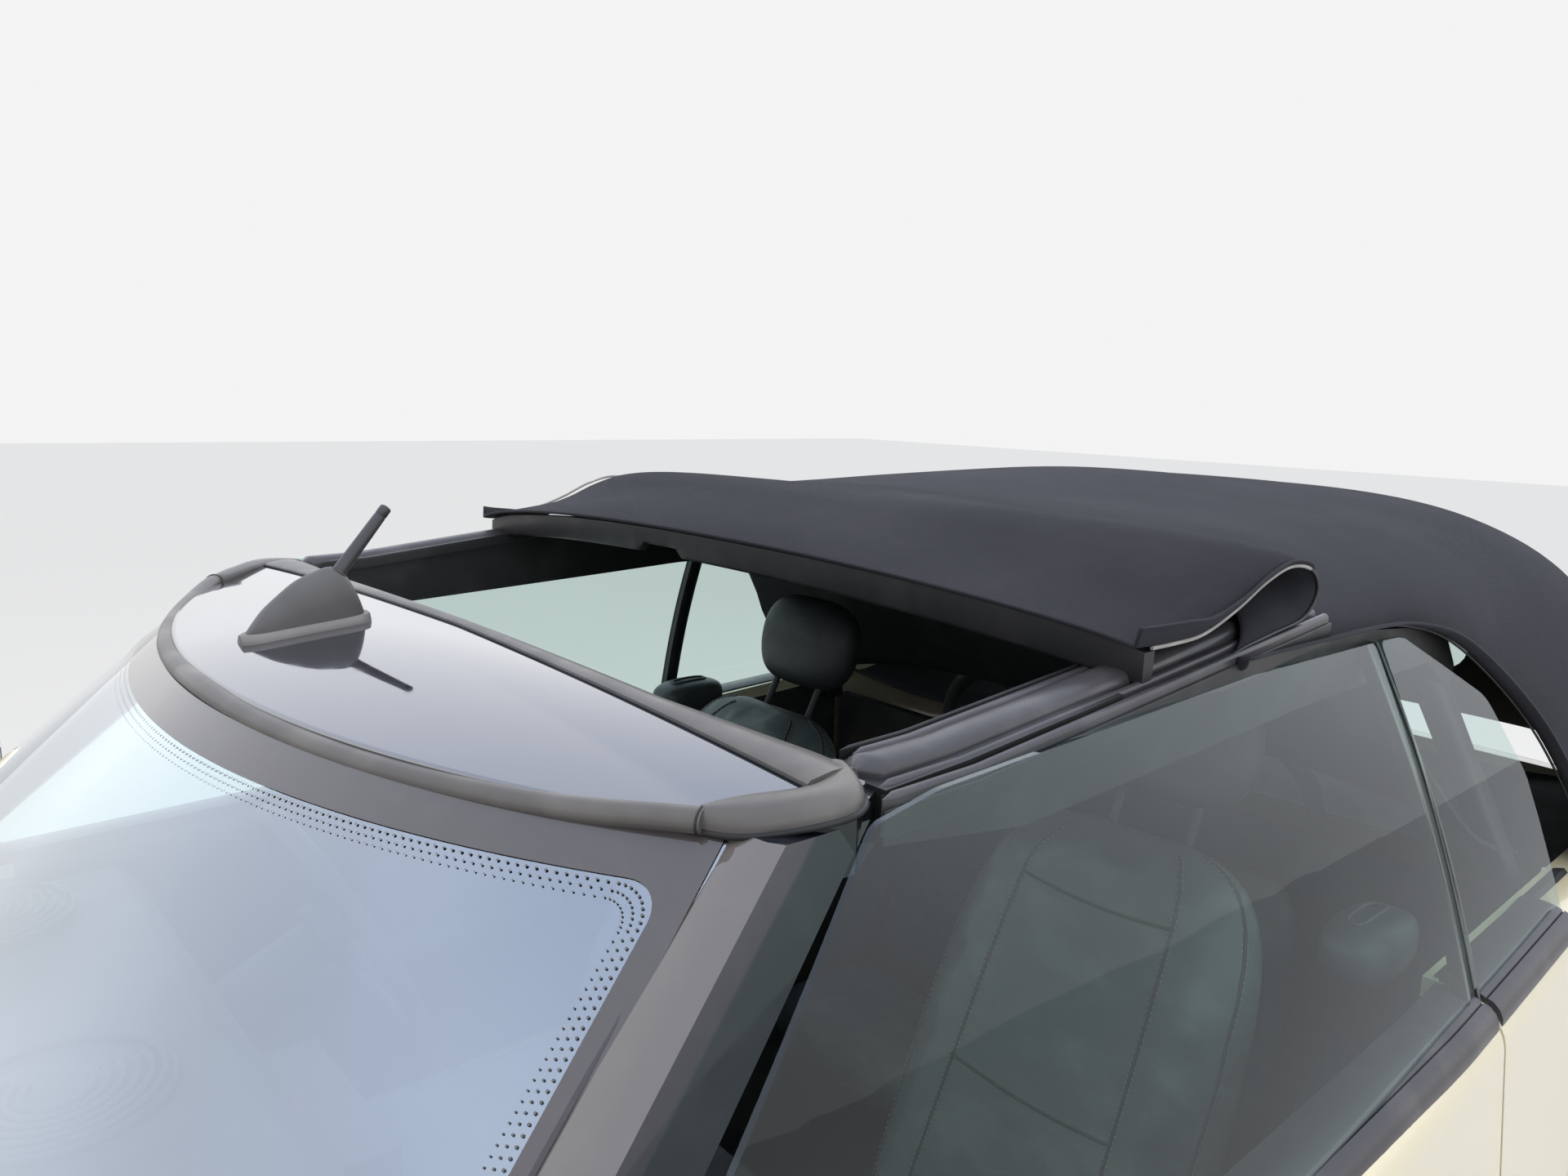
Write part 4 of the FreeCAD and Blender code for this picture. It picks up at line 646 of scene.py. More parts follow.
def roof_normal(share, across):
    """The way out of the cloth."""
    side = 1 if across >= 0 else -1
    near, far = min(abs(across), 1.0) - step_across, min(abs(across), 1.0)
    before, after = max(share - step_along, 0.0), min(share + step_along, 1.0)
    ahead = roof_point(after, far * side) - roof_point(before, far * side)
    out = roof_point(share, far * side) - roof_point(share, near * side)
    normal = out.cross(ahead) * side
    return -normal.normalized()


print("middle of the roof:", [round(c, 3) for c in roof_point(0.3, 0)], "normal",
      [round(c, 2) for c in roof_normal(0.3, 0.5)])

# %% Lay the cloth over its stations
hem_drop, hem_share = 0.020, 0.05
slack_start, slack_length = 0.06, 0.40
rows_along, rows_across = 200, 92
flat_half_width, flat_length = 0.76, 2.0
cloth_thickness = 0.0035


def make_roof_cloth():
    """The roof's grid with its hem turned down at both edges and a UV map in metres."""
    sheet = bmesh.new()
    bmesh.ops.create_grid(sheet, x_segments=rows_along, y_segments=rows_across, size=1.0)
    layer = sheet.loops.layers.uv.new("UVMap")
    flat_places = {}
    for corner in sheet.verts:
        share = (corner.co.x + 1) / 2
        across = corner.co.y * (1 + hem_share)
        past = max(abs(across) - 1.0, 0.0) / hem_share
        flat_places[corner.index] = (across * flat_half_width, share * flat_length)
        edge_share = min(share, 0.998)
        spot = roof_point(share, across)
        if past > 0:
            slack = sin(pi * clamp((share - slack_start) / slack_length))
            spot -= roof_normal(edge_share, across) * hem_drop * past * (1 - 0.8 * slack)
        corner.co = spot
    for face in sheet.faces:
        for loop in face.loops:
            loop[layer].uv = flat_places[loop.vert.index]
    return sheet


soft_top = new_piece("soft_top_cloth", make_roof_cloth(), roof_cloth)
area = sum(face.area for face in soft_top.data.polygons)
modify(soft_top, "SOLIDIFY", thickness=cloth_thickness, offset=-1.0, use_even_offset=False)
apply_all(soft_top)
print("roof cloth area", round(area, 3), "square metres")

# %% [markdown]
# The rear window sits in a hole of the cloth. A Boolean modifier cuts it: the cutter is a box whose
# edges along the car are bevelled, and the cut runs after the cloth has its thickness, because a
# Boolean needs closed shapes.

# %% Cut the hole for the rear window
def cutter_box(low, high, radius):
    """A box with four rounded edges along X, used to cut and never shown."""
    shape = bmesh.new()
    bmesh.ops.create_cube(shape, size=1.0)
    size = [h - l for l, h in zip(low, high)]
    bmesh.ops.scale(shape, vec=size, verts=shape.verts)
    bmesh.ops.translate(shape, vec=[(l + h) / 2 for l, h in zip(low, high)], verts=shape.verts)
    along = [e for e in shape.edges if abs(e.verts[0].co.x - e.verts[1].co.x) > 0.9 * size[0]]
    bmesh.ops.bevel(shape, geom=along, offset=radius, affect="EDGES", segments=6, profile=0.5,
                    material=-1)
    mesh = bpy.data.meshes.new("cutter")
    shape.to_mesh(mesh)
    shape.free()
    return stand("cutter", mesh)


def cut(piece, cutter):
    """Takes the cutter's space out of a piece."""
    modify(piece, "BOOLEAN", object=cutter, operation="DIFFERENCE", solver="EXACT")
    apply_all(piece)
    bpy.data.objects.remove(cutter)


window_half, window_low, window_high, window_corner = 0.400, 1.120, 1.280, 0.060
cutter_back, cutter_front = -1.9, -1.30
cut(soft_top, cutter_box((cutter_back, -window_half, window_low), (cutter_front, window_half, window_high),
                         window_corner))
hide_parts("soft_top_canopy")
round(area / 1.9, 2)
print("cloth faces after the cut:", len(soft_top.data.polygons))

# %% Piping and seams of the roof cloth
def along_edge(first, last, count):
    """Points on the cloth's left edge between two shares of its length, lifted off it a little."""
    return [roof_point(share, 1.0) + roof_normal(share, 1.0) * edge_raise
            for share in spread(first, last, count)]


pipe_start, pipe_end, welt_end, edge_raise = 0.02, 0.235, 0.80, 0.001
pipe_left = tube("roof_piping_left", along_edge(pipe_start, pipe_end, 40), 0.0019, pale_piping)
welt_left = tube("roof_welt_left", along_edge(pipe_end, welt_end, 90), 0.0016, dark_rubber)
mirror_over([pipe_left, welt_left])
seam_share, seam_bow, seam_raise = 0.715, 0.035, 0.0006
seam_path = [roof_point(seam_share + seam_bow * (1 - across ** 2), across)
             + roof_normal(seam_share, across) * seam_raise for across in spread(-1.0, 1.0, 61)]
tube("roof_rear_seam", seam_path, 0.0016, roof_cloth)
print("piping and seams laid")

# %% [markdown]
# ## The header above the windscreen
# A gloss black panel closes the gap between the screen and the roof. It bulges a little, and that
# is why it squeezes the sky's reflection. A rubber roll runs along its front, a flat strip along
# its back, and a moulded cap closes each end. All of them are lofts: rings of points, joined up.

# %% The header's surface
header_arc_x, header_arc_radius = -0.68198, 1.04698
header_rear_x, header_rear_z, header_fall, header_bulge = 0.087, 1.340, 0.079, 0.62
# The camber at the half width grows by camber_gain over camber_length.
camber_rear, camber_gain, camber_start, camber_length, camber_half = 0.0098, 0.0147, 0.124, 0.065, 0.7


def header_front_x(y, inset=0.0):
    """Where the header's bowed front edge lies."""
    return header_arc_x + sqrt((header_arc_radius - inset) ** 2 - y * y)


def header_z(x, y):
    """The panel's surface: it falls forwards and to both sides, in a shallow arch."""
    camber = camber_rear + camber_gain * clamp((x - camber_start) / camber_length)
    arch = header_bulge * max(x - header_rear_x, 0.0) * max(header_front_x(y) - x, 0.0)
    return header_rear_z - header_fall * (x - header_rear_x) - camber * (y / camber_half) ** 2 + arch


def lofted(name, rings, material, body="body", crease=45):
    """A skin over rings of points, shut at both ends."""
    shape = bmesh.new()
    loops = [[shape.verts.new(place) for place in ring] for ring in rings]
    count = len(rings[0])
    for near, far in zip(loops, loops[1:]):
        for k in range(count):
            shape.faces.new((near[k], near[(k + 1) % count], far[(k + 1) % count], far[k]))
    shape.faces.new(loops[0][::-1])
    shape.faces.new(loops[-1])
    bmesh.ops.recalc_face_normals(shape, faces=shape.faces)
    piece = new_piece(name, shape, material, body)
    piece.data.set_sharp_from_angle(angle=radians(crease))
    return piece


panel = bmesh.new()
panel_half, panel_rear, panel_inset = 0.590, 0.094, 0.008
bmesh.ops.create_grid(panel, x_segments=48, y_segments=90, size=1.0)
for corner in panel.verts:
    y = corner.co.y * panel_half
    x = panel_rear + (header_front_x(y, panel_inset) - panel_rear) * (corner.co.x + 1) / 2
    corner.co = (x, y, header_z(x, y))
header_gloss = make_gloss_black("header_gloss", (0.020, 0.021, 0.030), 0.000012)
header_gloss.node_tree.nodes["Principled BSDF"].inputs["IOR"].default_value = 2.6
header_panel = new_piece("header_panel", panel, header_gloss)
modify(header_panel, "SOLIDIFY", thickness=0.006, offset=-1.0)
apply_all(header_panel)
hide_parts("header_cover")
print("header panel's middle is", round(header_z(0.226, 0) * 1000), "mm up")

# %% Roll, strip and end caps
header_rubber = make_moulded("header_rubber", (0.085, 0.080, 0.078), (0.120, 0.112, 0.108),
                             0.33, 0.0008, 0.00001)
ROLL_HEIGHTS = ((1.3135,), (1.3120,), (1.3100,), (1.3085,), (1.3085,), (1.3110,), (1.3180,))
roll_half = 0.553


def roll_ring(y, wide=0.0110, high=0.0088, count=18):
    """The rubber roll's outline at y, square to the header's bowed edge."""
    middle = Vector((header_front_x(y, 0.004), y, through(ROLL_HEIGHTS, abs(y) / roll_half)[0]))
    out = Vector((middle.x - header_arc_x, y, 0)).normalized()
    return oval(middle, out * wide, UP * high, count)


lofted("header_roll", [roll_ring(y) for y in spread(-roll_half, roll_half, 97)], header_rubber)

# The columns are the inner edge's x, y and z, then the outer edge's x, y and z.
CAP_RINGS = (
    (0.1960, 0.5400, 1.3225, 0.2070, 0.5560, 1.3165),
    (0.1855, 0.5430, 1.3250, 0.1985, 0.5710, 1.3165),
    (0.1650, 0.5540, 1.3285, 0.1875, 0.5850, 1.3180),
    (0.1480, 0.5660, 1.3310, 0.1710, 0.5965, 1.3200),
    (0.1320, 0.5730, 1.3325, 0.1540, 0.6070, 1.3235),
    (0.1180, 0.5720, 1.3335, 0.1340, 0.6135, 1.3260),
    (0.1050, 0.5650, 1.3340, 0.1170, 0.6100, 1.3265),
    (0.0940, 0.5530, 1.3340, 0.1030, 0.5990, 1.3270),
    (0.0875, 0.5430, 1.3335, 0.0900, 0.5740, 1.3285),
)
# The columns are the share of the way across and the share of the crown's height.
STRIP_TOP = ((0.0, -0.3), (0.03, 0.1), (0.14, 0.35), (0.35, 0.72), (0.58, 1.0), (0.78, 1.0),
             (0.93, 0.6), (1.0, 0.0))


def strip_ring(inner, outer, crown, drop):
    """A crowned strip's cross-section between two edges, with its underside."""
    ring = [inner.lerp(outer, across) + UP * (crown * high) for across, high in STRIP_TOP]
    tuck = (outer - inner).normalized() * 0.003
    return ring + [outer - tuck - UP * drop, inner - UP * drop]


cap_crown, cap_drop, lip_shift = 0.0085, 0.008, Vector((-0.002, -0.002, -0.0045))
cap_rings = [strip_ring(Vector(row[:3]), Vector(row[3:]), cap_crown, cap_drop)
             for row in read_off(CAP_RINGS, 41)]
cap_left = lofted("header_cap_left", cap_rings, header_rubber, crease=60)
lip_path = [Vector(row[3:]) + lip_shift for row in read_off(CAP_RINGS, 30)]
lip_left = tube("header_lip_left", lip_path, 0.0032, dark_rubber)
mirror_over([cap_left, lip_left])


# The strip's rear edge runs forwards a little as far as strip_bend, and back from there.
strip_bend, strip_end_length = 0.36, 0.17


def groove_x(y):
    """Where the groove between the panel and the strip lies."""
    return 0.112 + 0.033 * abs(y)


def strip_rear_x(y):
    """Where the strip's rear edge lies."""
    past = abs(y) - strip_bend
    return 0.093 + 0.004 * clamp(abs(y) / strip_bend) - 0.012 * clamp(past / strip_end_length)


strip_rings = []
for y in spread(-0.572, 0.572, 81):
    front, rear = groove_x(y), strip_rear_x(y)
    profile = ((front, -0.006), (front, 0.0022), (front - 0.003, 0.0040), ((front + rear) / 2, 0.0052),
               (rear + 0.010, 0.0046), (rear + 0.007, 0.0030), (rear + 0.002, 0.0022),
               (rear - 0.001, -0.0005), (rear - 0.002, -0.006), (rear, -0.016), (front, -0.012))
    strip_rings.append([Vector((x, y, header_z(x, y) + lift)) for x, lift in profile])
lofted("header_strip", strip_rings, header_rubber)
groove_path = [Vector((groove_x(y) + 0.0012, y, header_z(groove_x(y), y) + 0.0010))
               for y in spread(-0.575, 0.575, 60)]
tube("header_groove", groove_path, 0.0013, dark_rubber)
for label, end_y in (("left", roll_half - 0.002), ("right", -roll_half + 0.002)):
    tube(f"roll_joint_{label}", roll_ring(end_y, 0.0113, 0.0091), 0.0009, dark_rubber, closed=True)
print("header seals made")

# %% [markdown]
# ## The antenna
# Its foot is a smooth fin on a paler skirt, and the mast leans back out of the fin's tip. The fin
# is a loft along X: half an ellipse at each station, with its width and its height from a table.

# %% Antenna
antenna_grey = make_moulded("antenna_grey", (0.085, 0.083, 0.086), (0.105, 0.102, 0.104),
                            0.42, 0.0012, 0.00002)
skirt_grey = make_moulded("skirt_grey", (0.17, 0.165, 0.165), (0.21, 0.205, 0.20), 0.45, 0.0012, 0.00002)
mast_black = make_moulded("mast_black", (0.045, 0.043, 0.046), (0.060, 0.058, 0.060), 0.38, 0.0012, 0.00002)
antenna_y = -0.075
# The columns are x, the height of the fin's top over the panel and the fin's half width.
FIN_STATIONS = (
    (0.2995, 0.0095, 0.003), (0.293, 0.017, 0.010), (0.282, 0.029, 0.0155), (0.268, 0.0395, 0.0185),
    (0.250, 0.051, 0.0210), (0.231, 0.0575, 0.0220), (0.217, 0.0605, 0.0218), (0.205, 0.0560, 0.0205),
    (0.196, 0.0440, 0.0180), (0.189, 0.0290, 0.0140), (0.184, 0.0150, 0.0080),
)


def fin_ring(row, low, count=15):
    """Half an ellipse across the fin, standing low over the panel."""
    x, high, half = row
    floor = header_z(x, antenna_y) + low
    return [Vector((x, antenna_y + half * cos(turn), floor + (high - low) * sin(turn) ** 0.85))
            for turn in spread(0, pi, count)]


fin = lofted("antenna_fin", [fin_ring(row, 0.0085) for row in read_off(FIN_STATIONS, 41)], antenna_grey)
skirt_middle, skirt_stretch, skirt_margin = 0.241, 1.10, 0.0045
skirt_rings = []
for x, high, half in read_off(FIN_STATIONS, 41):
    x = skirt_middle + (x - skirt_middle) * skirt_stretch
    low = header_z(x, antenna_y) - 0.004
    wide = half + skirt_margin
    skirt_rings.append([Vector((x, antenna_y + across, low + rise)) for across, rise in (
        (-wide, 0.0), (-wide - 0.0006, 0.006), (-wide + 0.003, 0.0125), (0.0, 0.0135),
        (wide - 0.003, 0.0125), (wide + 0.0006, 0.006), (wide, 0.0))])
lofted("antenna_skirt", skirt_rings, skirt_grey, crease=60)
mast_foot, mast_end = Vector((0.2100, antenna_y, 1.3900)), Vector((0.1530, antenna_y, 1.4610))
lean = (mast_end - mast_foot).normalized()
over_mast = lean.cross(ACROSS)


def mast_ring(middle, radius, count):
    """A circle square to the mast."""
    return oval(middle, ACROSS * radius, over_mast * radius, count)


# The columns are the share of the mast's length and the radius.
MAST_ROWS = ((0.0, 0.0078), (0.012, 0.0075), (0.86, 0.0062), (0.87, 0.0056), (0.88, 0.0062),
             (0.975, 0.0062), (0.992, 0.0052), (1.0, 0.0030))
mast_rings = [mast_ring(mast_foot.lerp(mast_end, place), radius, 16) for place, radius in MAST_ROWS]
lofted("antenna_mast", mast_rings, mast_black)
tube("antenna_collar", mast_ring(mast_foot + lean * 0.006, 0.0088, 12), 0.0016, mast_black, closed=True)
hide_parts("antenna")
print("antenna made")

# %% [markdown]
# ## Under the cloth's front edge
# The front bow carries the cloth's edge and shows below it as a deep, plain band with one notch.
# The side rails ahead of it carry pads and rubber seals.

# %% Front band of the soft top
band_black = make_moulded("band_black", (0.020, 0.020, 0.022), (0.038, 0.037, 0.040), 0.42, 0.0012, 0.00003)
band_deep, band_setback = 0.034, 0.016
notch_y, notch_half, notch_high, notch_slope = -0.090, 0.035, 0.011, 0.010
band_rings = []
for across in spread(-0.995, 0.995, 141):
    edge = roof_point(0.0, across)
    lift = notch_high * (1 - clamp((abs(edge.y - notch_y) - notch_half) / notch_slope))
    low = edge.z - 0.003 - band_deep + lift
    front = edge.x - band_setback
    band_rings.append([Vector((front + shift, edge.y, z)) for shift, z in (
        (0.0, edge.z - 0.0045), (0.001, low + 0.004), (-0.002, low), (-0.010, low - 0.0005),
        (-0.014, low + 0.004), (-0.016, edge.z - 0.0045))])
front_band = lofted("soft_top_band", band_rings, band_black, crease=60)
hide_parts("soft_top_bow")
print("front band made")

# %% Rail pads and seals
rail_pad = make_moulded("rail_pad", (0.045, 0.044, 0.050), (0.075, 0.072, 0.078), 0.27, 0.0010, 0.00001)


rail_low, rail_rise = 1.3335, 0.098


def rail_z(x):
    """Top of the side rail, which dips a little at its front end."""
    return rail_low + rail_rise * max(-x, 0.0) - 0.002 * clamp(x / 0.08)


# The columns are the share of the half width and the share of the crown's height.
BAR_TOP = ((-1.0, 0.0), (-0.9, 0.45), (-0.6, 0.85), (-0.2, 1.0), (0.2, 1.0), (0.6, 0.85), (0.9, 0.45),
           (1.0, 0.0))


def rail_bar(name, inner_y, outer_y, lift, crown, drop, material, start=0.080, end=-0.545, round_end=0.012):
    """A crowned bar along the left rail, its front end rounded off."""
    rings = []
    for x in spread(start, end, 60):
        gone = min((start - x) / round_end, 1.0)
        full = sqrt(max(1 - (1 - gone) ** 2, 0.0)) * 0.9 + 0.1
        middle, half = (inner_y + outer_y) / 2, (outer_y - inner_y) / 2 * full
        low = rail_z(x) + lift
        top = [Vector((x, middle + half * across, low + crown * high * full)) for across, high in BAR_TOP]
        rings.append(top + [Vector((x, middle + half, low - drop)), Vector((x, middle - half, low - drop))])
    return lofted(name, rings, material, crease=50)


# The numbers are the inner and outer edge's y, the lift over the rail, the crown and the depth.
rail_pieces = [
    rail_bar("rail_pad_left", 0.5500, 0.5860, 0.0, 0.009, 0.012, rail_pad, start=0.084),
    rail_bar("rail_trim_left", 0.5375, 0.5475, 0.001, 0.003, 0.012, rail_pad, start=0.060),
    rail_bar("rail_line_left", 0.5330, 0.5362, 0.003, 0.002, 0.012, dark_rubber, start=0.066),
    rail_bar("seal_inner_left", 0.5900, 0.5985, -0.004, 0.004, 0.020, rail_pad, start=0.086),
    rail_bar("seal_slot_left", 0.5985, 0.6035, -0.007, 0.001, 0.020, dark_rubber, start=0.090),
    rail_bar("seal_outer_left", 0.6035, 0.6125, -0.0065, 0.004, 0.026, rail_pad, start=0.096),
    rail_bar("seal_lip_left", 0.6125, 0.6160, -0.012, 0.001, 0.018, dark_rubber, start=0.100),
]
mirror_over(rail_pieces)
print("rail pieces:", 2 * len(rail_pieces))

# %% [markdown]
# ## The windscreen's black border
# A windscreen has a black printed border with a dotted inner edge. Here it is a thin skin that lies
# close on the glass. The screen is bent round an upright axis, so a level line on it is an arc, and
# a spot on it is found from its share of the way across and up.

# %% Screen border
# The columns are the end's x and half width, the bow and the height of the screen's foot and top.
SCREEN_FOOT, SCREEN_TOP = (0.580, 0.680, 0.235, 0.948), (0.195, 0.569, 0.176, 1.308)
# The screen's half width, its height along the glass, the way it faces and the dots' turn for it.
screen_half, screen_high = 0.66, 0.576
screen_out, dot_turn = Vector((0.62, 0.0, 0.78)), radians(38)
dot_margin, dot_pitch = 0.0045, 0.0058


def screen_point(across, rise, lift=0.0012):
    """A spot just off the screen, across from -1 to 1 and rise from 0 to 1."""
    spots = []
    for end_x, half, bow, z in (SCREEN_FOOT, SCREEN_TOP):
        radius = (half * half + bow * bow) / (2 * bow)
        turn = asin(half / radius) * across
        spots.append(Vector((end_x + bow - radius + radius * cos(turn), radius * sin(turn), z)))
    return spots[0].lerp(spots[1], rise) + screen_out * lift


def border_loop(side, top, foot, radius):
    """A rectangle with round corners on the screen, in shares across and up; margins in metres."""
    middle, low, high = screen_half - side - radius, foot + radius, screen_high - top - radius
    wide, tall = 2 * middle, high - low
    loop = []
    for x, z, start, run, steps in ((middle, high, 0, wide, 150), (-middle, high, 90, tall, 60),
                                    (-middle, low, 180, wide, 150), (middle, low, 270, tall, 60)):
        arc = [(x + radius * cos(radians(start + turn)), z + radius * sin(radians(start + turn)))
               for turn in spread(0, 90, 10)]
        end = radians(start + 90)
        last_x, last_z = arc[-1]
        loop += arc + [(last_x - sin(end) * run * k / steps, last_z + cos(end) * run * k / steps)
                       for k in range(1, steps)]
    return [(x / screen_half, z / screen_high) for x, z in loop]


# The border's inner edge: its margins at the sides, top and foot, and its corners' radius.
border_side, border_top, border_foot, border_corner = 0.024, 0.038, 0.060, 0.030
border = bmesh.new()
outer_loop = border_loop(0.002, 0.0, 0.0, 0.003)
inner_loop = border_loop(border_side, border_top, border_foot, border_corner)
rows = []
for share in spread(0.0, 1.0, 6):
    rows.append([border.verts.new(screen_point(a[0] + (b[0] - a[0]) * share, a[1] + (b[1] - a[1]) * share))
                 for a, b in zip(outer_loop, inner_loop)])
for first, second in zip(rows, rows[1:]):
    for k in range(len(first)):
        border.faces.new((first[k - 1], first[k], second[k], second[k - 1]))
for row, radius in enumerate((0.0012, 0.0010, 0.0008)):
    margin = dot_margin + dot_pitch * row
    for across, rise in border_loop(border_side + margin, border_top + margin, border_foot + margin,
                                    border_corner - 0.004 * row):
        bmesh.ops.create_circle(border, cap_ends=True, segments=6, radius=radius,
                                matrix=Matrix.Translation(screen_point(across, rise))
                                @ Matrix.Rotation(dot_turn, 4, "Y"))
border_black = make_gloss_black("border_black", (0.070, 0.062, 0.062), 0.00001)
screen_border = new_piece("screen_border", border, border_black)
if sum(face.normal.z * face.area for face in screen_border.data.polygons) < 0:
    screen_border.data.flip_normals()
print("screen border faces:", len(screen_border.data.polygons))

# %% [markdown]
# ## Seats
# Each pad starts as a loft of rounded rings and is then blown up by a short cloth simulation, as
# real upholstery is by its foam. Seams come after it: a seam line is laid on the finished pad by
# looking for the closest spot of its surface, and the stitches follow the same line.

# %% Leather
def make_leather(name, shade, pale, rough):
    """Leather with fine pores, and creases in the paler colour."""
    material, wire, shader = new_finish(name, Specular_IOR_Level=0.5)
    pores = wire.add("TexVoronoi", {"Vector": metres(wire), "Scale": 1 / 0.0024}, take="Distance")
    creases = grain(wire, 0.05, metres(wire, (1.0, 0.6, 1.0)), detail=7.0).between(0.42, 0.74)
    plug(wire.tree, shader.inputs["Base Color"], creases.mix(shade, pale))
    plug(wire.tree, shader.inputs["Roughness"], pores * 0.16 + creases * -0.08 + rough)
    relief(wire, shader, pores.between(0.0, 0.6) + creases * 2.0, 0.00022)
    return material


seat_leather = make_leather("seat_leather", (0.088, 0.108, 0.112), (0.130, 0.152, 0.156), 0.40)
head_leather = make_leather("head_leather", (0.024, 0.028, 0.030), (0.040, 0.044, 0.046), 0.46)
pale_thread = make_moulded("pale_thread", (0.26, 0.28, 0.28), (0.36, 0.38, 0.38), 0.6, 0.0006, 0.00005, 0.01)
print("made the leathers and the thread")

# %% Pads, seams and stitches
def pad_ring(middle, side, front, half, deep, bolster=0.0, count=28, power=2.7):
    """A rounded ring; bolster lifts its front face near both ends, as a seat's side pads do."""
    ring = []
    for u, v in squarish(count, 2 / power):
        rise = bolster * exp(-((abs(u) - 0.80) / 0.17) ** 2) if v > 0 else 0.0
        ring.append(middle + side * half * u + front * (deep * v + rise * v))
    return ring


pad_voxel, pad_pressure, pad_frames = 0.009, 4.0, 20


def swell(piece, cap):
    """Blows a pad up a little, with no point further than cap metres from its start."""
    modify(piece, "REMESH", mode="VOXEL", voxel_size=pad_voxel)
    apply_all(piece)
    start = [corner.co.copy() for corner in piece.data.vertices]
    settings = modify(piece, "CLOTH").settings
    settings.use_pressure = True
    settings.uniform_pressure_force = pad_pressure
    settings.effector_weights.gravity = 0.0
    for frame_number in range(1, pad_frames + 1):
        bpy.context.scene.frame_set(frame_number)
    apply_all(piece)
    for corner, first in zip(piece.data.vertices, start):
        step = corner.co - first
        corner.co = first + step * min(cap / max(step.length, 1e-6), 1.0)
    bpy.context.scene.frame_set(1)


def pad(name, rings, material, cap):
    """A padded piece: a loft that is swollen and then smoothed."""
    piece = lofted(name, rings, material, crease=180)
    modify(piece, "SUBSURF", levels=1, render_levels=1)
    apply_all(piece)
    swell(piece, cap)
    modify(piece, "SMOOTH", factor=0.5, iterations=4)
    modify(piece, "SUBSURF", levels=1, render_levels=1)
    apply_all(piece)
    piece.data.shade_smooth()
    return piece


def on_pad(piece, places, lift):
    """Moves points to the closest spots of a pad and off it by lift."""
    found = [piece.closest_point_on_mesh(place)[1:3] for place in places]
    return [spot + normal * lift for spot, normal in found]


def stitches(name, path, step=0.0062, offset=0.003):
    """Short threads on both sides of a seam."""
    shape = bmesh.new()
    for start, end in zip(path, path[1:]):
        way = end - start
        count = max(int(way.length / step), 1)
        turn = way.to_track_quat("X", "Z").to_matrix().to_4x4()
        for k in range(count):
            for side in (-offset, offset):
                middle = Matrix.Translation(start + way * (k + 0.5) / count)
                place = middle @ turn @ Matrix.Translation((0, side, 0))
                bmesh.ops.create_icosphere(shape, subdivisions=1, radius=1.0,
                                           matrix=place @ Matrix.Diagonal((0.0021, 0.0006, 0.0006, 1.0)))
    return new_piece(name, shape, pale_thread)


print("pads can be made")

# %% Front seat
seat_y = 0.360
# The columns are x, z, half the width, half the thickness and how far the side pads stand out.
BACK_ROWS = (
    (-0.350, 0.400, 0.195, 0.040, 0.008), (-0.385, 0.470, 0.215, 0.052, 0.022),
    (-0.435, 0.580, 0.225, 0.054, 0.036), (-0.490, 0.700, 0.230, 0.052, 0.036),
    (-0.545, 0.825, 0.228, 0.048, 0.030), (-0.592, 0.930, 0.216, 0.044, 0.018),
    (-0.622, 1.000, 0.194, 0.040, 0.008), (-0.644, 1.044, 0.150, 0.031, 0.0),
    (-0.653, 1.062, 0.080, 0.017, 0.0),
)
BASE_ROWS = (
    (-0.385, 0.405, 0.190, 0.034, 0.0), (-0.350, 0.410, 0.215, 0.052, 0.015),
    (-0.200, 0.410, 0.226, 0.055, 0.028), (0.000, 0.415, 0.228, 0.058, 0.028),
    (0.100, 0.422, 0.226, 0.060, 0.020), (0.140, 0.418, 0.214, 0.050, 0.008),
    (0.156, 0.408, 0.180, 0.030, 0.0),
)
HEAD_ROWS = (
    (-0.692, 1.082, 0.055, 0.022, 0.0), (-0.700, 1.094, 0.092, 0.036, 0.0),
    (-0.712, 1.125, 0.114, 0.044, 0.0), (-0.722, 1.165, 0.118, 0.045, 0.0),
    (-0.732, 1.200, 0.110, 0.040, 0.0), (-0.738, 1.222, 0.085, 0.030, 0.0),
    (-0.741, 1.232, 0.045, 0.015, 0.0),
)


def pad_rings(rows, count, front, **more):
    """Rings through a table's rows, each facing front."""
    return [pad_ring(Vector((x, seat_y, z)), ACROSS, front, half, deep, bolster, **more)
            for x, z, half, deep, bolster in read_off(rows, count)]


out_of_back = Vector((0.903, 0, 0.430))
seat_back = pad("seat_back_left", pad_rings(BACK_ROWS, 22, out_of_back), seat_leather, 0.014)
seat_base = pad("seat_base_left", pad_rings(BASE_ROWS, 20, UP), seat_leather, 0.014)
seat_head = pad("seat_head_left", pad_rings(HEAD_ROWS, 16, out_of_back, power=2.3), head_leather, 0.012)
print("seat pads:", [len(piece.data.polygons) for piece in (seat_back, seat_base, seat_head)])

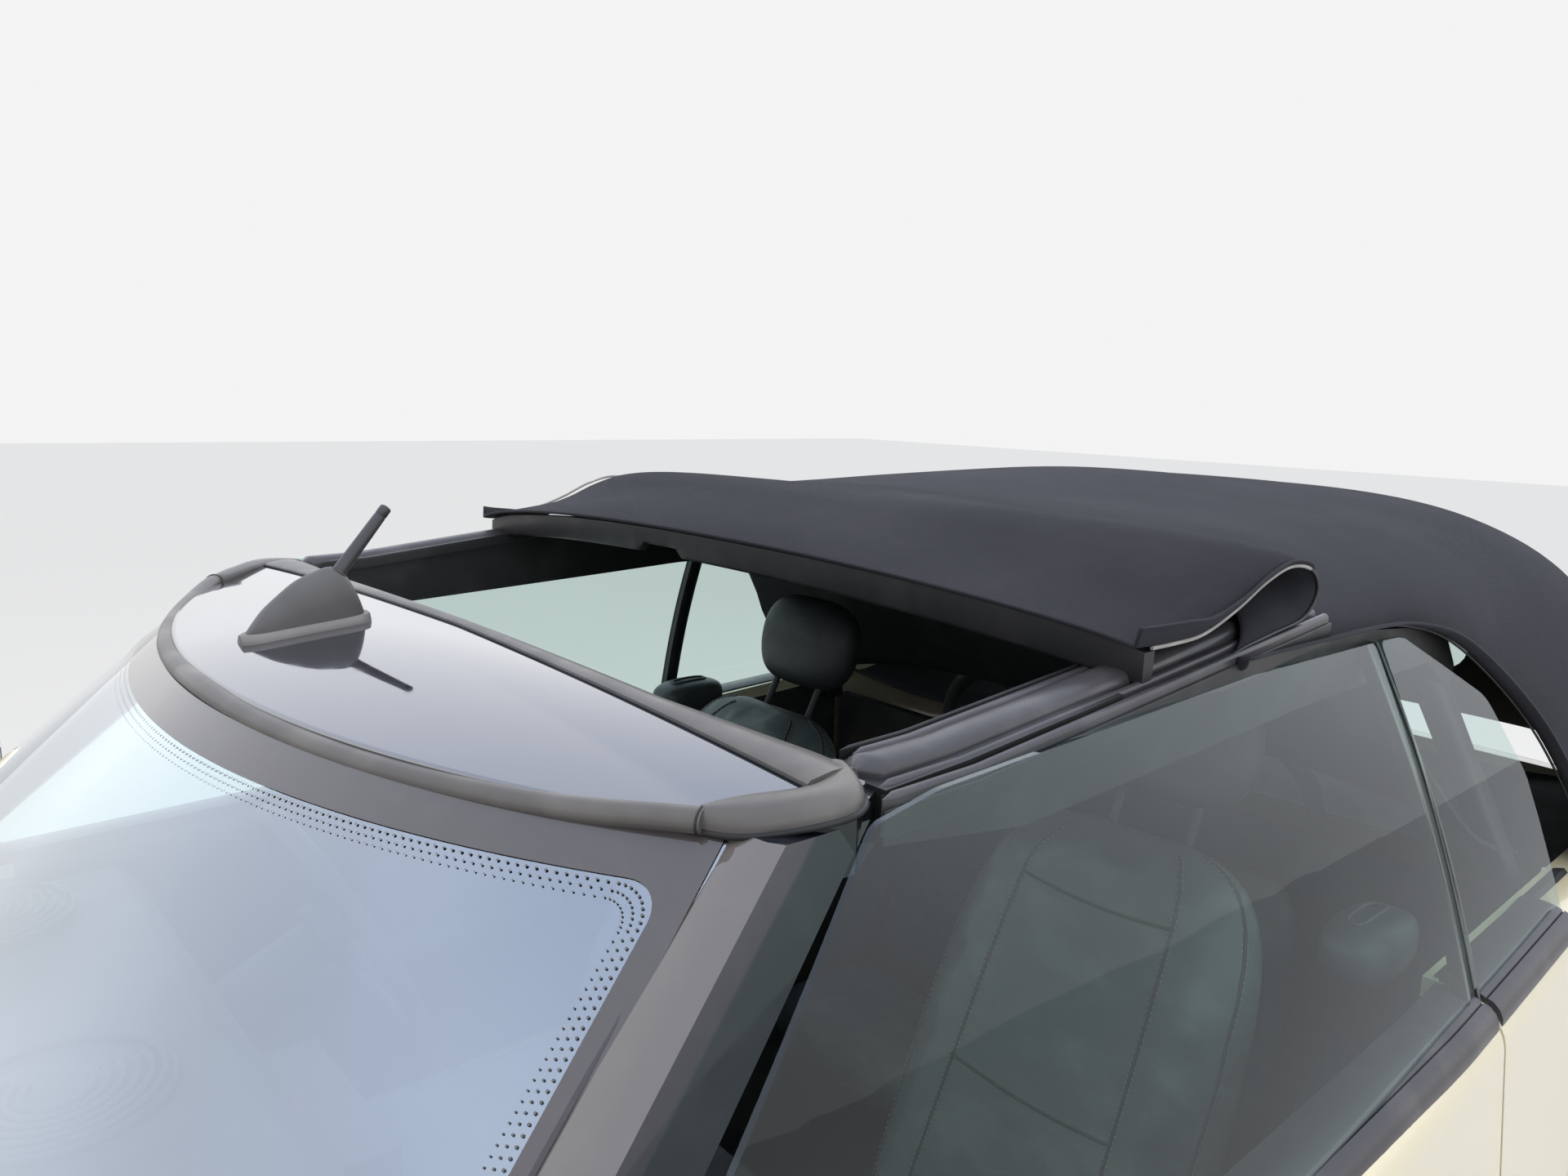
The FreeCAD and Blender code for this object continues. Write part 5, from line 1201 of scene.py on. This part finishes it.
# %% Seams and frame of the front seat
# Points start this far off the pad's rows, and end up this far off its surface.
seam_reach, seam_lift, stitch_lift = 0.02, 0.0005, 0.0008
seam_paths = []
for side in (-1, 1):
    bolster_line = []
    for share in spread(0.10, 0.90, 34):
        x, z, half, deep, bolster = through(BACK_ROWS, share)
        narrow = 0.60 - 0.10 * sin(pi * share)
        bolster_line.append(Vector((x, seat_y + side * half * narrow, z)) + out_of_back * (deep + seam_reach))
    seam_paths.append(on_pad(seat_back, bolster_line, seam_lift))
    edge_line = [Vector((x, seat_y + side * (half * 0.97 + 0.012), z)) + out_of_back * (deep + bolster * 0.5)
                 for x, z, half, deep, bolster in read_off(BACK_ROWS, 40, 0.06, 0.97)]
    seam_paths.append(on_pad(seat_back, edge_line, seam_lift))
for share in (0.42, 0.70):
    x, z, half, deep, bolster = through(BACK_ROWS, share)
    level = [Vector((x, seat_y + half * u, z - 0.03 * (1 - u * u))) + out_of_back * (deep + seam_reach)
             for u in spread(-0.52, 0.52, 20)]
    seam_paths.append(on_pad(seat_back, level, seam_lift))
seat_extras = [tube(f"seat_seam_{k}_left", path, 0.0021, head_leather) for k, path in enumerate(seam_paths)]
seat_extras += [stitches(f"seat_stitches_{k}_left", on_pad(seat_back, path, stitch_lift))
                for k, path in enumerate(seam_paths[:4])]
head_line = [Vector((x, seat_y + half * 1.02, z))
             for x, z, half, deep, bolster in read_off(HEAD_ROWS, 20, 0.03, 0.97)]
seat_extras.append(tube("head_seam_left", on_pad(seat_head, head_line, 0.0004), 0.0012, head_leather))
for label, dy in (("a", -0.055), ("b", 0.055)):
    foot, top = Vector((-0.655, seat_y + dy, 1.005)), Vector((-0.708, seat_y + dy, 1.110))
    seat_extras.append(tube(f"head_post_{label}_left", [foot, foot.lerp(top, 0.5), top], 0.0062,
                            black_plastic))
# The columns are y from the seat's middle and z.
PLINTH_OUTLINE = ((-0.195, 0.246), (0.195, 0.246), (0.200, 0.255), (0.205, 0.350), (0.195, 0.372),
                  (-0.195, 0.372), (-0.205, 0.350), (-0.200, 0.255))
plinth_rings = [[Vector((x, seat_y + dy, z)) for dy, z in PLINTH_OUTLINE] for x in spread(-0.325, 0.120, 8)]
seat_extras.append(lofted("seat_plinth_left", plinth_rings, cabin_plastic))
seat_twins = mirror_over([seat_back, seat_base, seat_head] + seat_extras)
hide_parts("seat_front_left")
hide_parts("seat_front_right")
print("seat pieces on both sides:", 2 * (3 + len(seat_extras)))

# %% Rear seat
def rear_ring(y, x, z, half_x, half_z, lean, shrink):
    """A rounded ring across the bench; lean moves its top along x."""
    return [Vector((x + (half_x * u + lean * v) * shrink, y, z + half_z * v * shrink))
            for u, v in squarish(24, 0.7)]


rear_pads = []
for name, x, z, half_x, half_z, lean in (("rear_bench", -0.800, 0.440, 0.150, 0.060, 0.0),
                                         ("rear_backrest", -1.030, 0.655, 0.034, 0.232, -0.048)):
    for side in (-1, 1):
        rings = []
        for share in spread(0.0, 1.0, 17):
            shrink = (1 - abs(2 * share - 1) ** 5) ** 0.5 * 0.5 + 0.5
            rings.append(rear_ring(side * (0.012 + 0.405 * share), x, z - 0.012 * sin(pi * share),
                                   half_x, half_z, lean, shrink))
        rear_pads.append(pad(f"{name}_{'left' if side > 0 else 'right'}", rings, seat_leather, 0.010))
for piece in rear_pads:
    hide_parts("rear_seat")
print("rear pads:", len(rear_pads))

# %% Belt guides
guide_grey = make_moulded("guide_grey", (0.034, 0.042, 0.044), (0.052, 0.062, 0.064), 0.38, 0.0014, 0.00004)
# The columns are x, half the width and half the height.
GUIDE_ROWS = ((-0.737, 0.010, 0.009), (-0.728, 0.026, 0.024), (-0.705, 0.035, 0.032), (-0.665, 0.039, 0.035),
              (-0.625, 0.037, 0.032), (-0.600, 0.028, 0.023), (-0.591, 0.010, 0.009))
guide_rings = [pad_ring(Vector((x, 0.645, 1.002)), ACROSS, UP, half, high, power=3.2)
               for x, half, high in read_off(GUIDE_ROWS, 25)]
guide = lofted("belt_guide_left", guide_rings, guide_grey, crease=180)
slot_x, slot_y, slot_half_length, slot_half_width = -0.660, 0.640, 0.040, 0.011
slot_path = [Vector((slot_x + slot_half_length * u, slot_y + slot_half_width * v, 1.060))
             for u, v in squarish(32, 0.55)]
slot_rim = tube("belt_slot_rim_left", on_pad(guide, slot_path, 0.0012), 0.0026, guide_grey, closed=True)
slot_rings = [on_pad(guide, slot_path, lift) for lift in (-0.004, 0.0004)]
slot_inside = lofted("belt_slot_left", slot_rings, dark_rubber)
mirror_over([guide, slot_rim, slot_inside])
print("belt guides made")

# %% [markdown]
# ## Window bars and belt seals
# A narrow bar with a pale edge stands where the door glass meets the small rear glass. Along the
# foot of the glass runs a black rubber seal, in two lengths that meet where the door ends.

# %% Bars and belt seals
bar_black = make_moulded("bar_black", (0.016, 0.017, 0.019), (0.030, 0.031, 0.033), 0.32, 0.001, 0.00002)
bar_grey = make_moulded("bar_grey", (0.12, 0.125, 0.125), (0.17, 0.175, 0.175), 0.30, 0.001, 0.00001)
bar_low, bar_high = Vector((-0.6815, 0.7490, 0.968)), Vector((-0.6665, 0.6085, 1.338))


def bar_spot(share, shift, inside):
    """A spot along the bar; the bar bows outwards as the glass does."""
    bow = 0.011 * sin(pi * share)
    return bar_low.lerp(bar_high, share) + Vector((shift, bow - inside, bow * 0.35))


# The columns are x from the bar's middle and how far inwards.
BAR_OUTLINE = ((-0.013, 0.0), (-0.013, 0.012), (-0.009, 0.016), (0.009, 0.016), (0.013, 0.012), (0.013, 0.0))
bar_rings = [[bar_spot(share, shift, inside) for shift, inside in BAR_OUTLINE]
             for share in spread(0.0, 1.0, 30)]
bar_left = lofted("window_bar_left", bar_rings, bar_black)
bar_lines = []
for k, shift in enumerate((-0.0125, 0.0125)):
    line_path = [bar_spot(share, shift, -0.0015) for share in spread(0, 1, 24)]
    bar_lines.append(tube(f"window_bar_line_{k}_left", line_path, 0.0017, bar_grey))
mirror_over([bar_left] + bar_lines)


def belt_z(x):
    """How high the side windows' foot runs."""
    return 0.9445 - 0.0305 * x + 0.011 * x * x


# The columns are y and the height over the windows' foot.
BELT_PROFILE = ((0.712, -0.014), (0.711, 0.003), (0.720, 0.0060), (0.738, 0.0065), (0.750, 0.0045),
                (0.757, 0.0020), (0.7585, -0.001), (0.7600, 0.0015), (0.766, -0.0005),
                (0.7725, -0.0065), (0.7765, -0.0150), (0.7770, -0.0230), (0.7650, -0.0260),
                (0.7400, -0.0220))


def belt_seal(name, start, end, body):
    """A rubber seal along the windows' foot, which comes inwards at the rear."""
    rings = []
    for x in spread(start, end, 50):
        inward = 0.030 * max(-x - 0.60, 0.0)
        rings.append([Vector((x, y - inward, belt_z(x) + lift)) for y, lift in BELT_PROFILE])
    return lofted(name, rings, rail_pad, body, crease=50)


for side_body, first, last, label in (("door_left", 0.500, -0.6865, "door"),
                                      ("body", -0.6985, -0.985, "rear")):
    left_seal = belt_seal(f"belt_seal_{label}_left", first, last, side_body)
    right_seal = mirror_over([left_seal])[0]
    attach(right_seal, side_body.replace("left", "right"))
print("bars and belt seals made")

# %% [markdown]
# ## Screen pillars
# Each pillar is one gloss black moulding whose faces carry painted reflections: its front face is
# painted pale for the sky, and its side face dark navy. A thin rubber line runs between the pillar and the
# screen.

# %% Pillar mouldings
# The pale front colour is a painted reflection of the sky, and the navy side colour is a painted dark
# reflection. Both faces are the same gloss black moulding.
pillar_front_painted_sky = make_gloss_black("pillar_front_painted_sky", (0.125, 0.115, 0.112), 0.000012)
pillar_side_painted_dark = make_gloss_black("pillar_side_painted_dark", (0.009, 0.010, 0.017), 0.000012)
# The columns are how far a corner of the moulding lies from the pillar's own: x from its front
# face, or from its rear face where the third column is 1, and y from its inner face.
PILLAR_PROFILE = ((0.0020, 0.002, 0), (0.0030, 0.014, 0), (0.0025, 0.028, 0), (0.0005, 0.040, 0),
                  (-0.0060, 0.0505, 0), (-0.0300, 0.0515, 0), (-0.0020, 0.0510, 1), (-0.0030, 0.042, 1),
                  (-0.0025, 0.012, 1), (0.0100, -0.0015, 1), (-0.0120, -0.0015, 0))
# The pillar's own front, rear and inner face: the place at 1 metre up, and how far it falls per metre.
PILLAR_FACES = ((0.5405, 1.133), (0.4545, 1.105), (0.6550, 0.3145))
painted_sky_face_lean = 0.55


def pillar_ring(z):
    """The moulding's outline at a height."""
    front, rear, inner = (place - fall * (z - 1.0) for place, fall in PILLAR_FACES)
    return [Vector(((rear if at_rear else front) + dx, inner + dy, z)) for dx, dy, at_rear in PILLAR_PROFILE]


pillar = lofted("pillar_left", [pillar_ring(z) for z in spread(0.958, 1.3135, 24)], pillar_side_painted_dark, crease=28)
pillar.data.materials.append(pillar_front_painted_sky)
# Faces that lean forwards get the colour of the painted sky reflection.
for face in pillar.data.polygons:
    if face.normal.x > painted_sky_face_lean:
        face.material_index = 1
edge_path = [pillar_ring(z)[0] + Vector((0.0005, 0.0, 0.0)) for z in spread(0.960, 1.312, 20)]
pillar_line = tube("pillar_line_left", edge_path, 0.0022, rail_pad)
mirror_over([pillar, pillar_line])
print("pillars made")

# %% [markdown]
# ## The dashboard's top
# Through the screen one sees round air vents with curved ribs, a bright ring on the steering wheel
# and the soft black of the dashboard's top. The ribs are narrow arcs, one inside the other. A red
# button and the seats' red belt releases are small closed lofts and beads.

# %% Vent, ring and small controls
red_button = make_moulded("red_button", (0.42, 0.030, 0.022), (0.50, 0.050, 0.035), 0.40, 0.0010, 0.00003)
dash_level, rim_radius, rib_radii = 0.9265, 0.098, (0.030, 0.042, 0.054, 0.066, 0.078, 0.090)
for name, vent_x, vent_y in (("middle", 0.490, -0.055), ("left", 0.500, 0.430), ("right", 0.500, -0.520)):
    middle = Vector((vent_x, vent_y, dash_level))
    for k, radius in enumerate(rib_radii):
        arc = [middle + Vector((radius * cos(t), radius * sin(t), 0.004 + 0.004 * sin(t * 0.5) ** 2))
               for t in spread(radians(-50), radians(200), 24)]
        tube(f"vent_rib_{k}_{name}", arc, 0.0036, cabin_plastic)
    rim = oval(middle + UP * 0.002, AHEAD * rim_radius, ACROSS * rim_radius, 48)
    tube(f"vent_rim_{name}", rim, 0.0050, black_plastic, closed=True)
hub, wheel_up, hub_radius = Vector((0.1125, -0.360, 0.8715)), Vector((0.423, 0.0, 0.906)), 0.040
hub_path = oval(hub, wheel_up * hub_radius, ACROSS * hub_radius, 40)
tube("hub_ring", hub_path, 0.0024, bright_steel, "steering_wheel", closed=True)
tube("hazard_button", [Vector((0.300, dy, 0.860)) for dy in (-0.014, 0.0, 0.014)], 0.0075, red_button)
tab_y = 0.108
TAB_OUTLINE = ((-0.010, -0.012), (0.010, -0.012), (0.012, 0.0), (0.010, 0.012), (-0.010, 0.012),
               (-0.012, 0.0))
# The columns are x, z and the share of the outline's size.
TAB_ROWS = ((-0.330, 0.480, 0.7), (-0.322, 0.487, 1.0), (-0.300, 0.505, 1.0), (-0.292, 0.512, 0.7))
tab_rings = [[Vector((x, tab_y + dy * size, z + dz * size)) for dy, dz in TAB_OUTLINE]
             for x, z, size in TAB_ROWS]
red_tab = lofted("belt_release_left", tab_rings, red_button)
mirror_over([red_tab])
print("dashboard's small parts made")

# %% [markdown]
# ## Cabin trim
# Dark panels line the cabin's sides, and each door's inner face has a card with an armrest. A
# stiff formed panel fills the dark space under the roof behind the front seats. It is a guess,
# because nothing can be seen there. A flat deck lies below the rear window.

# %% Side panels, door cards, lining panel and deck
trim_cloth = make_moulded("trim_cloth", (0.016, 0.017, 0.018), (0.028, 0.029, 0.031), 0.72, 0.0024, 0.0002)
side_rings = []
for x in spread(-0.704, -1.112, 16):
    high = belt_z(x) - 0.004
    side_rings.append([Vector((x, y, z)) for y, z in (
        (0.697, 0.500), (0.697, high - 0.008), (0.700, high + 0.005), (0.712, high + 0.009),
        (0.717, high + 0.004), (0.704, high - 0.022), (0.702, 0.500))])
mirror_over([lofted("cabin_side_left", side_rings, trim_cloth)])
card_rings = [[Vector((x, y, z)) for y, z in (
    (0.7145, 0.360), (0.7090, 0.368), (0.7090, 0.640), (0.7000, 0.660), (0.7000, belt_z(x) - 0.050),
    (0.7070, belt_z(x) - 0.020), (0.7145, belt_z(x) - 0.014))] for x in spread(0.440, -0.640, 24)]
door_card = lofted("door_card_left", card_rings, cabin_plastic, "door_left")
arm_front, arm_length, arm_y, arm_z, arm_half, arm_thick = 0.160, 0.560, 0.678, 0.640, 0.030, 0.026
arm_rings = []
for share in spread(0.0, 1.0, 20):
    full = (1 - abs(2 * share - 1) ** 6) ** 0.5 * 0.7 + 0.3
    middle = Vector((arm_front - arm_length * share, arm_y, arm_z))
    arm_rings.append(pad_ring(middle, ACROSS, UP, arm_half * full, arm_thick * full))
arm_rest = lofted("arm_rest_left", arm_rings, head_leather, "door_left", crease=180)
for twin in mirror_over([door_card, arm_rest]):
    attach(twin, "door_right")
# The columns are x, z and half the width.
LINING_ROWS = ((-0.640, 1.4380, 0.570), (-0.700, 1.3850, 0.575), (-0.780, 1.2850, 0.600),
               (-0.860, 1.1750, 0.640), (-0.960, 1.1000, 0.655), (-1.105, 1.0500, 0.660))
lining_sag, lining_depth = 0.050, Vector((-0.003, 0, 0.004))
deck_sag, deck_depth, deck_inset = 0.030, Vector((0, 0, -0.004)), 0.006
lining_rings = []
for across in spread(-1.0, 1.0, 40):
    sag = lining_sag * across ** 4
    upper = [Vector((x, half * across, z - sag)) for x, z, half in read_off(LINING_ROWS, 16)]
    lining_rings.append(upper + [spot + lining_depth for spot in reversed(upper)])
lofted("roof_lining", lining_rings, trim_cloth)
deck_rings = []
for share in spread(0.0, 1.0, 24):
    spot = roof_point(0.80 + 0.19 * share, 1.0)
    x, half, level = spot.x, spot.y - deck_inset, spot.z - deck_inset
    upper = [Vector((x, half * u, level - deck_sag * (1 - abs(u) ** 8))) for u in spread(-1.0, 1.0, 40)]
    deck_rings.append(upper + [place + deck_depth for place in reversed(upper)])
lofted("rear_deck", deck_rings, trim_cloth)
print("cabin trim made")

# %% [markdown]
# ## Small outside parts
# Door grips, the fuel flap's outline, mirror faces, blank plates and wipers lie on the parts they
# belong to, so each of them rides on the same body as its part.

# %% Door grips and fuel flap
def on_part(name, places, lift):
    """Moves points to the closest spots of a part of the frame and off it by lift."""
    part = nodes[name]
    inwards = part.matrix_world.inverted()
    found = [part.closest_point_on_mesh(inwards @ place)[1:3] for place in places]
    return [part.matrix_world @ spot + (part.matrix_world.to_3x3() @ normal).normalized() * lift
            for spot, normal in found]


# The points are taken at skin_y and then moved to the closest spots of the skin.
skin_y, grip_x, grip_z = 0.83, -0.525, 0.805
cup_half_length, cup_half_height = 0.052, 0.022
flap_x, flap_z, flap_radius = -1.270, 0.800, 0.075
grip_feet = on_part("door_left", [Vector((x, skin_y, grip_z)) for x in spread(-0.610, -0.440, 9)], 0.0)
lifts = (0.002, 0.016, 0.021, 0.023, 0.024, 0.023, 0.021, 0.016, 0.002)
grip_path = [spot + ACROSS * lift for spot, lift in zip(grip_feet, lifts)]
cup = oval(Vector((grip_x, skin_y, grip_z)), AHEAD * cup_half_length, UP * cup_half_height, 32)
cup_path = on_part("door_left", cup, 0.0002)
outside = [tube("door_grip_left", grip_path, 0.0085, bright_steel, "door_left", sides=10),
           tube("grip_cup_left", cup_path, 0.0016, dark_rubber, "door_left", closed=True)]
flap = oval(Vector((flap_x, -skin_y, flap_z)), AHEAD * flap_radius, UP * flap_radius, 40)
tube("fuel_flap_line", on_part("rear_quarters", flap, 0.0002), 0.0014, dark_rubber, closed=True)
for twin in mirror_over(outside):
    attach(twin, "door_right")
print("door grips and fuel flap made")

# %% Mirror faces, plates and wipers
mirror_silver = make_metal("mirror_silver", (0.70, 0.73, 0.75), (0.74, 0.77, 0.79), 0.03, 0.01, 0.000002)
plate_white = make_moulded("plate_white", (0.62, 0.62, 0.60), (0.70, 0.70, 0.68), 0.35, 0.002, 0.00001)


def plate(name, middle, out, half, high, deep, material, body, power):
    """A thin upright plate with rounded corners that faces along out."""
    rings = []
    for lift, size in ((-deep, 1.0), (0.0, 1.0), (0.0008, 0.985)):
        outline = pad_ring(middle, ACROSS * size, UP * size, half, high, count=40, power=power)
        rings.append([place + out * lift for place in outline])
    return lofted(name, rings, material, body, crease=40)


mirror_face = plate("mirror_face_left", Vector((0.4325, 0.878, 1.030)), -AHEAD, 0.060, 0.046, 0.002,
                    mirror_silver, "door_left", 4.0)
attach(mirror_over([mirror_face])[0], "door_right")
plate_half, plate_high, plate_deep, plate_corner = 0.235, 0.055, 0.003, 14.0
for name, middle, out, body in (("rear_plate", Vector((-1.8245, 0, 0.705)), -AHEAD, "boot_lid"),
                                ("front_plate", Vector((1.8530, 0, 0.430)), AHEAD, "body")):
    plate(name, middle, out, plate_half, plate_high, plate_deep, plate_white, body, plate_corner)
wiper_x, wiper_bow, wiper_foot_z, blade_foot_z, blade_rise = 0.800, 0.55, 0.962, 1.000, 0.03
for label, foot_y, end_y in (("a", -0.440, 0.060), ("b", 0.020, 0.500)):
    foot = Vector((wiper_x - wiper_bow * abs(foot_y) ** 2, foot_y, wiper_foot_z))
    sweep = [Vector((wiper_x, foot_y + 0.02 + (end_y - foot_y) * t, blade_foot_z + blade_rise * t))
             for t in spread(0.0, 1.0, 12)]
    blade = on_part("windscreen", sweep, 0.006)
    tube(f"wiper_blade_{label}", blade, 0.0045, dark_rubber)
    elbow = foot.lerp(blade[5], 0.5) + Vector((0.010, 0, 0.012))
    tube(f"wiper_arm_{label}", [foot, elbow, blade[5]], 0.0060, black_plastic)
print("mirrors, plates and wipers made")
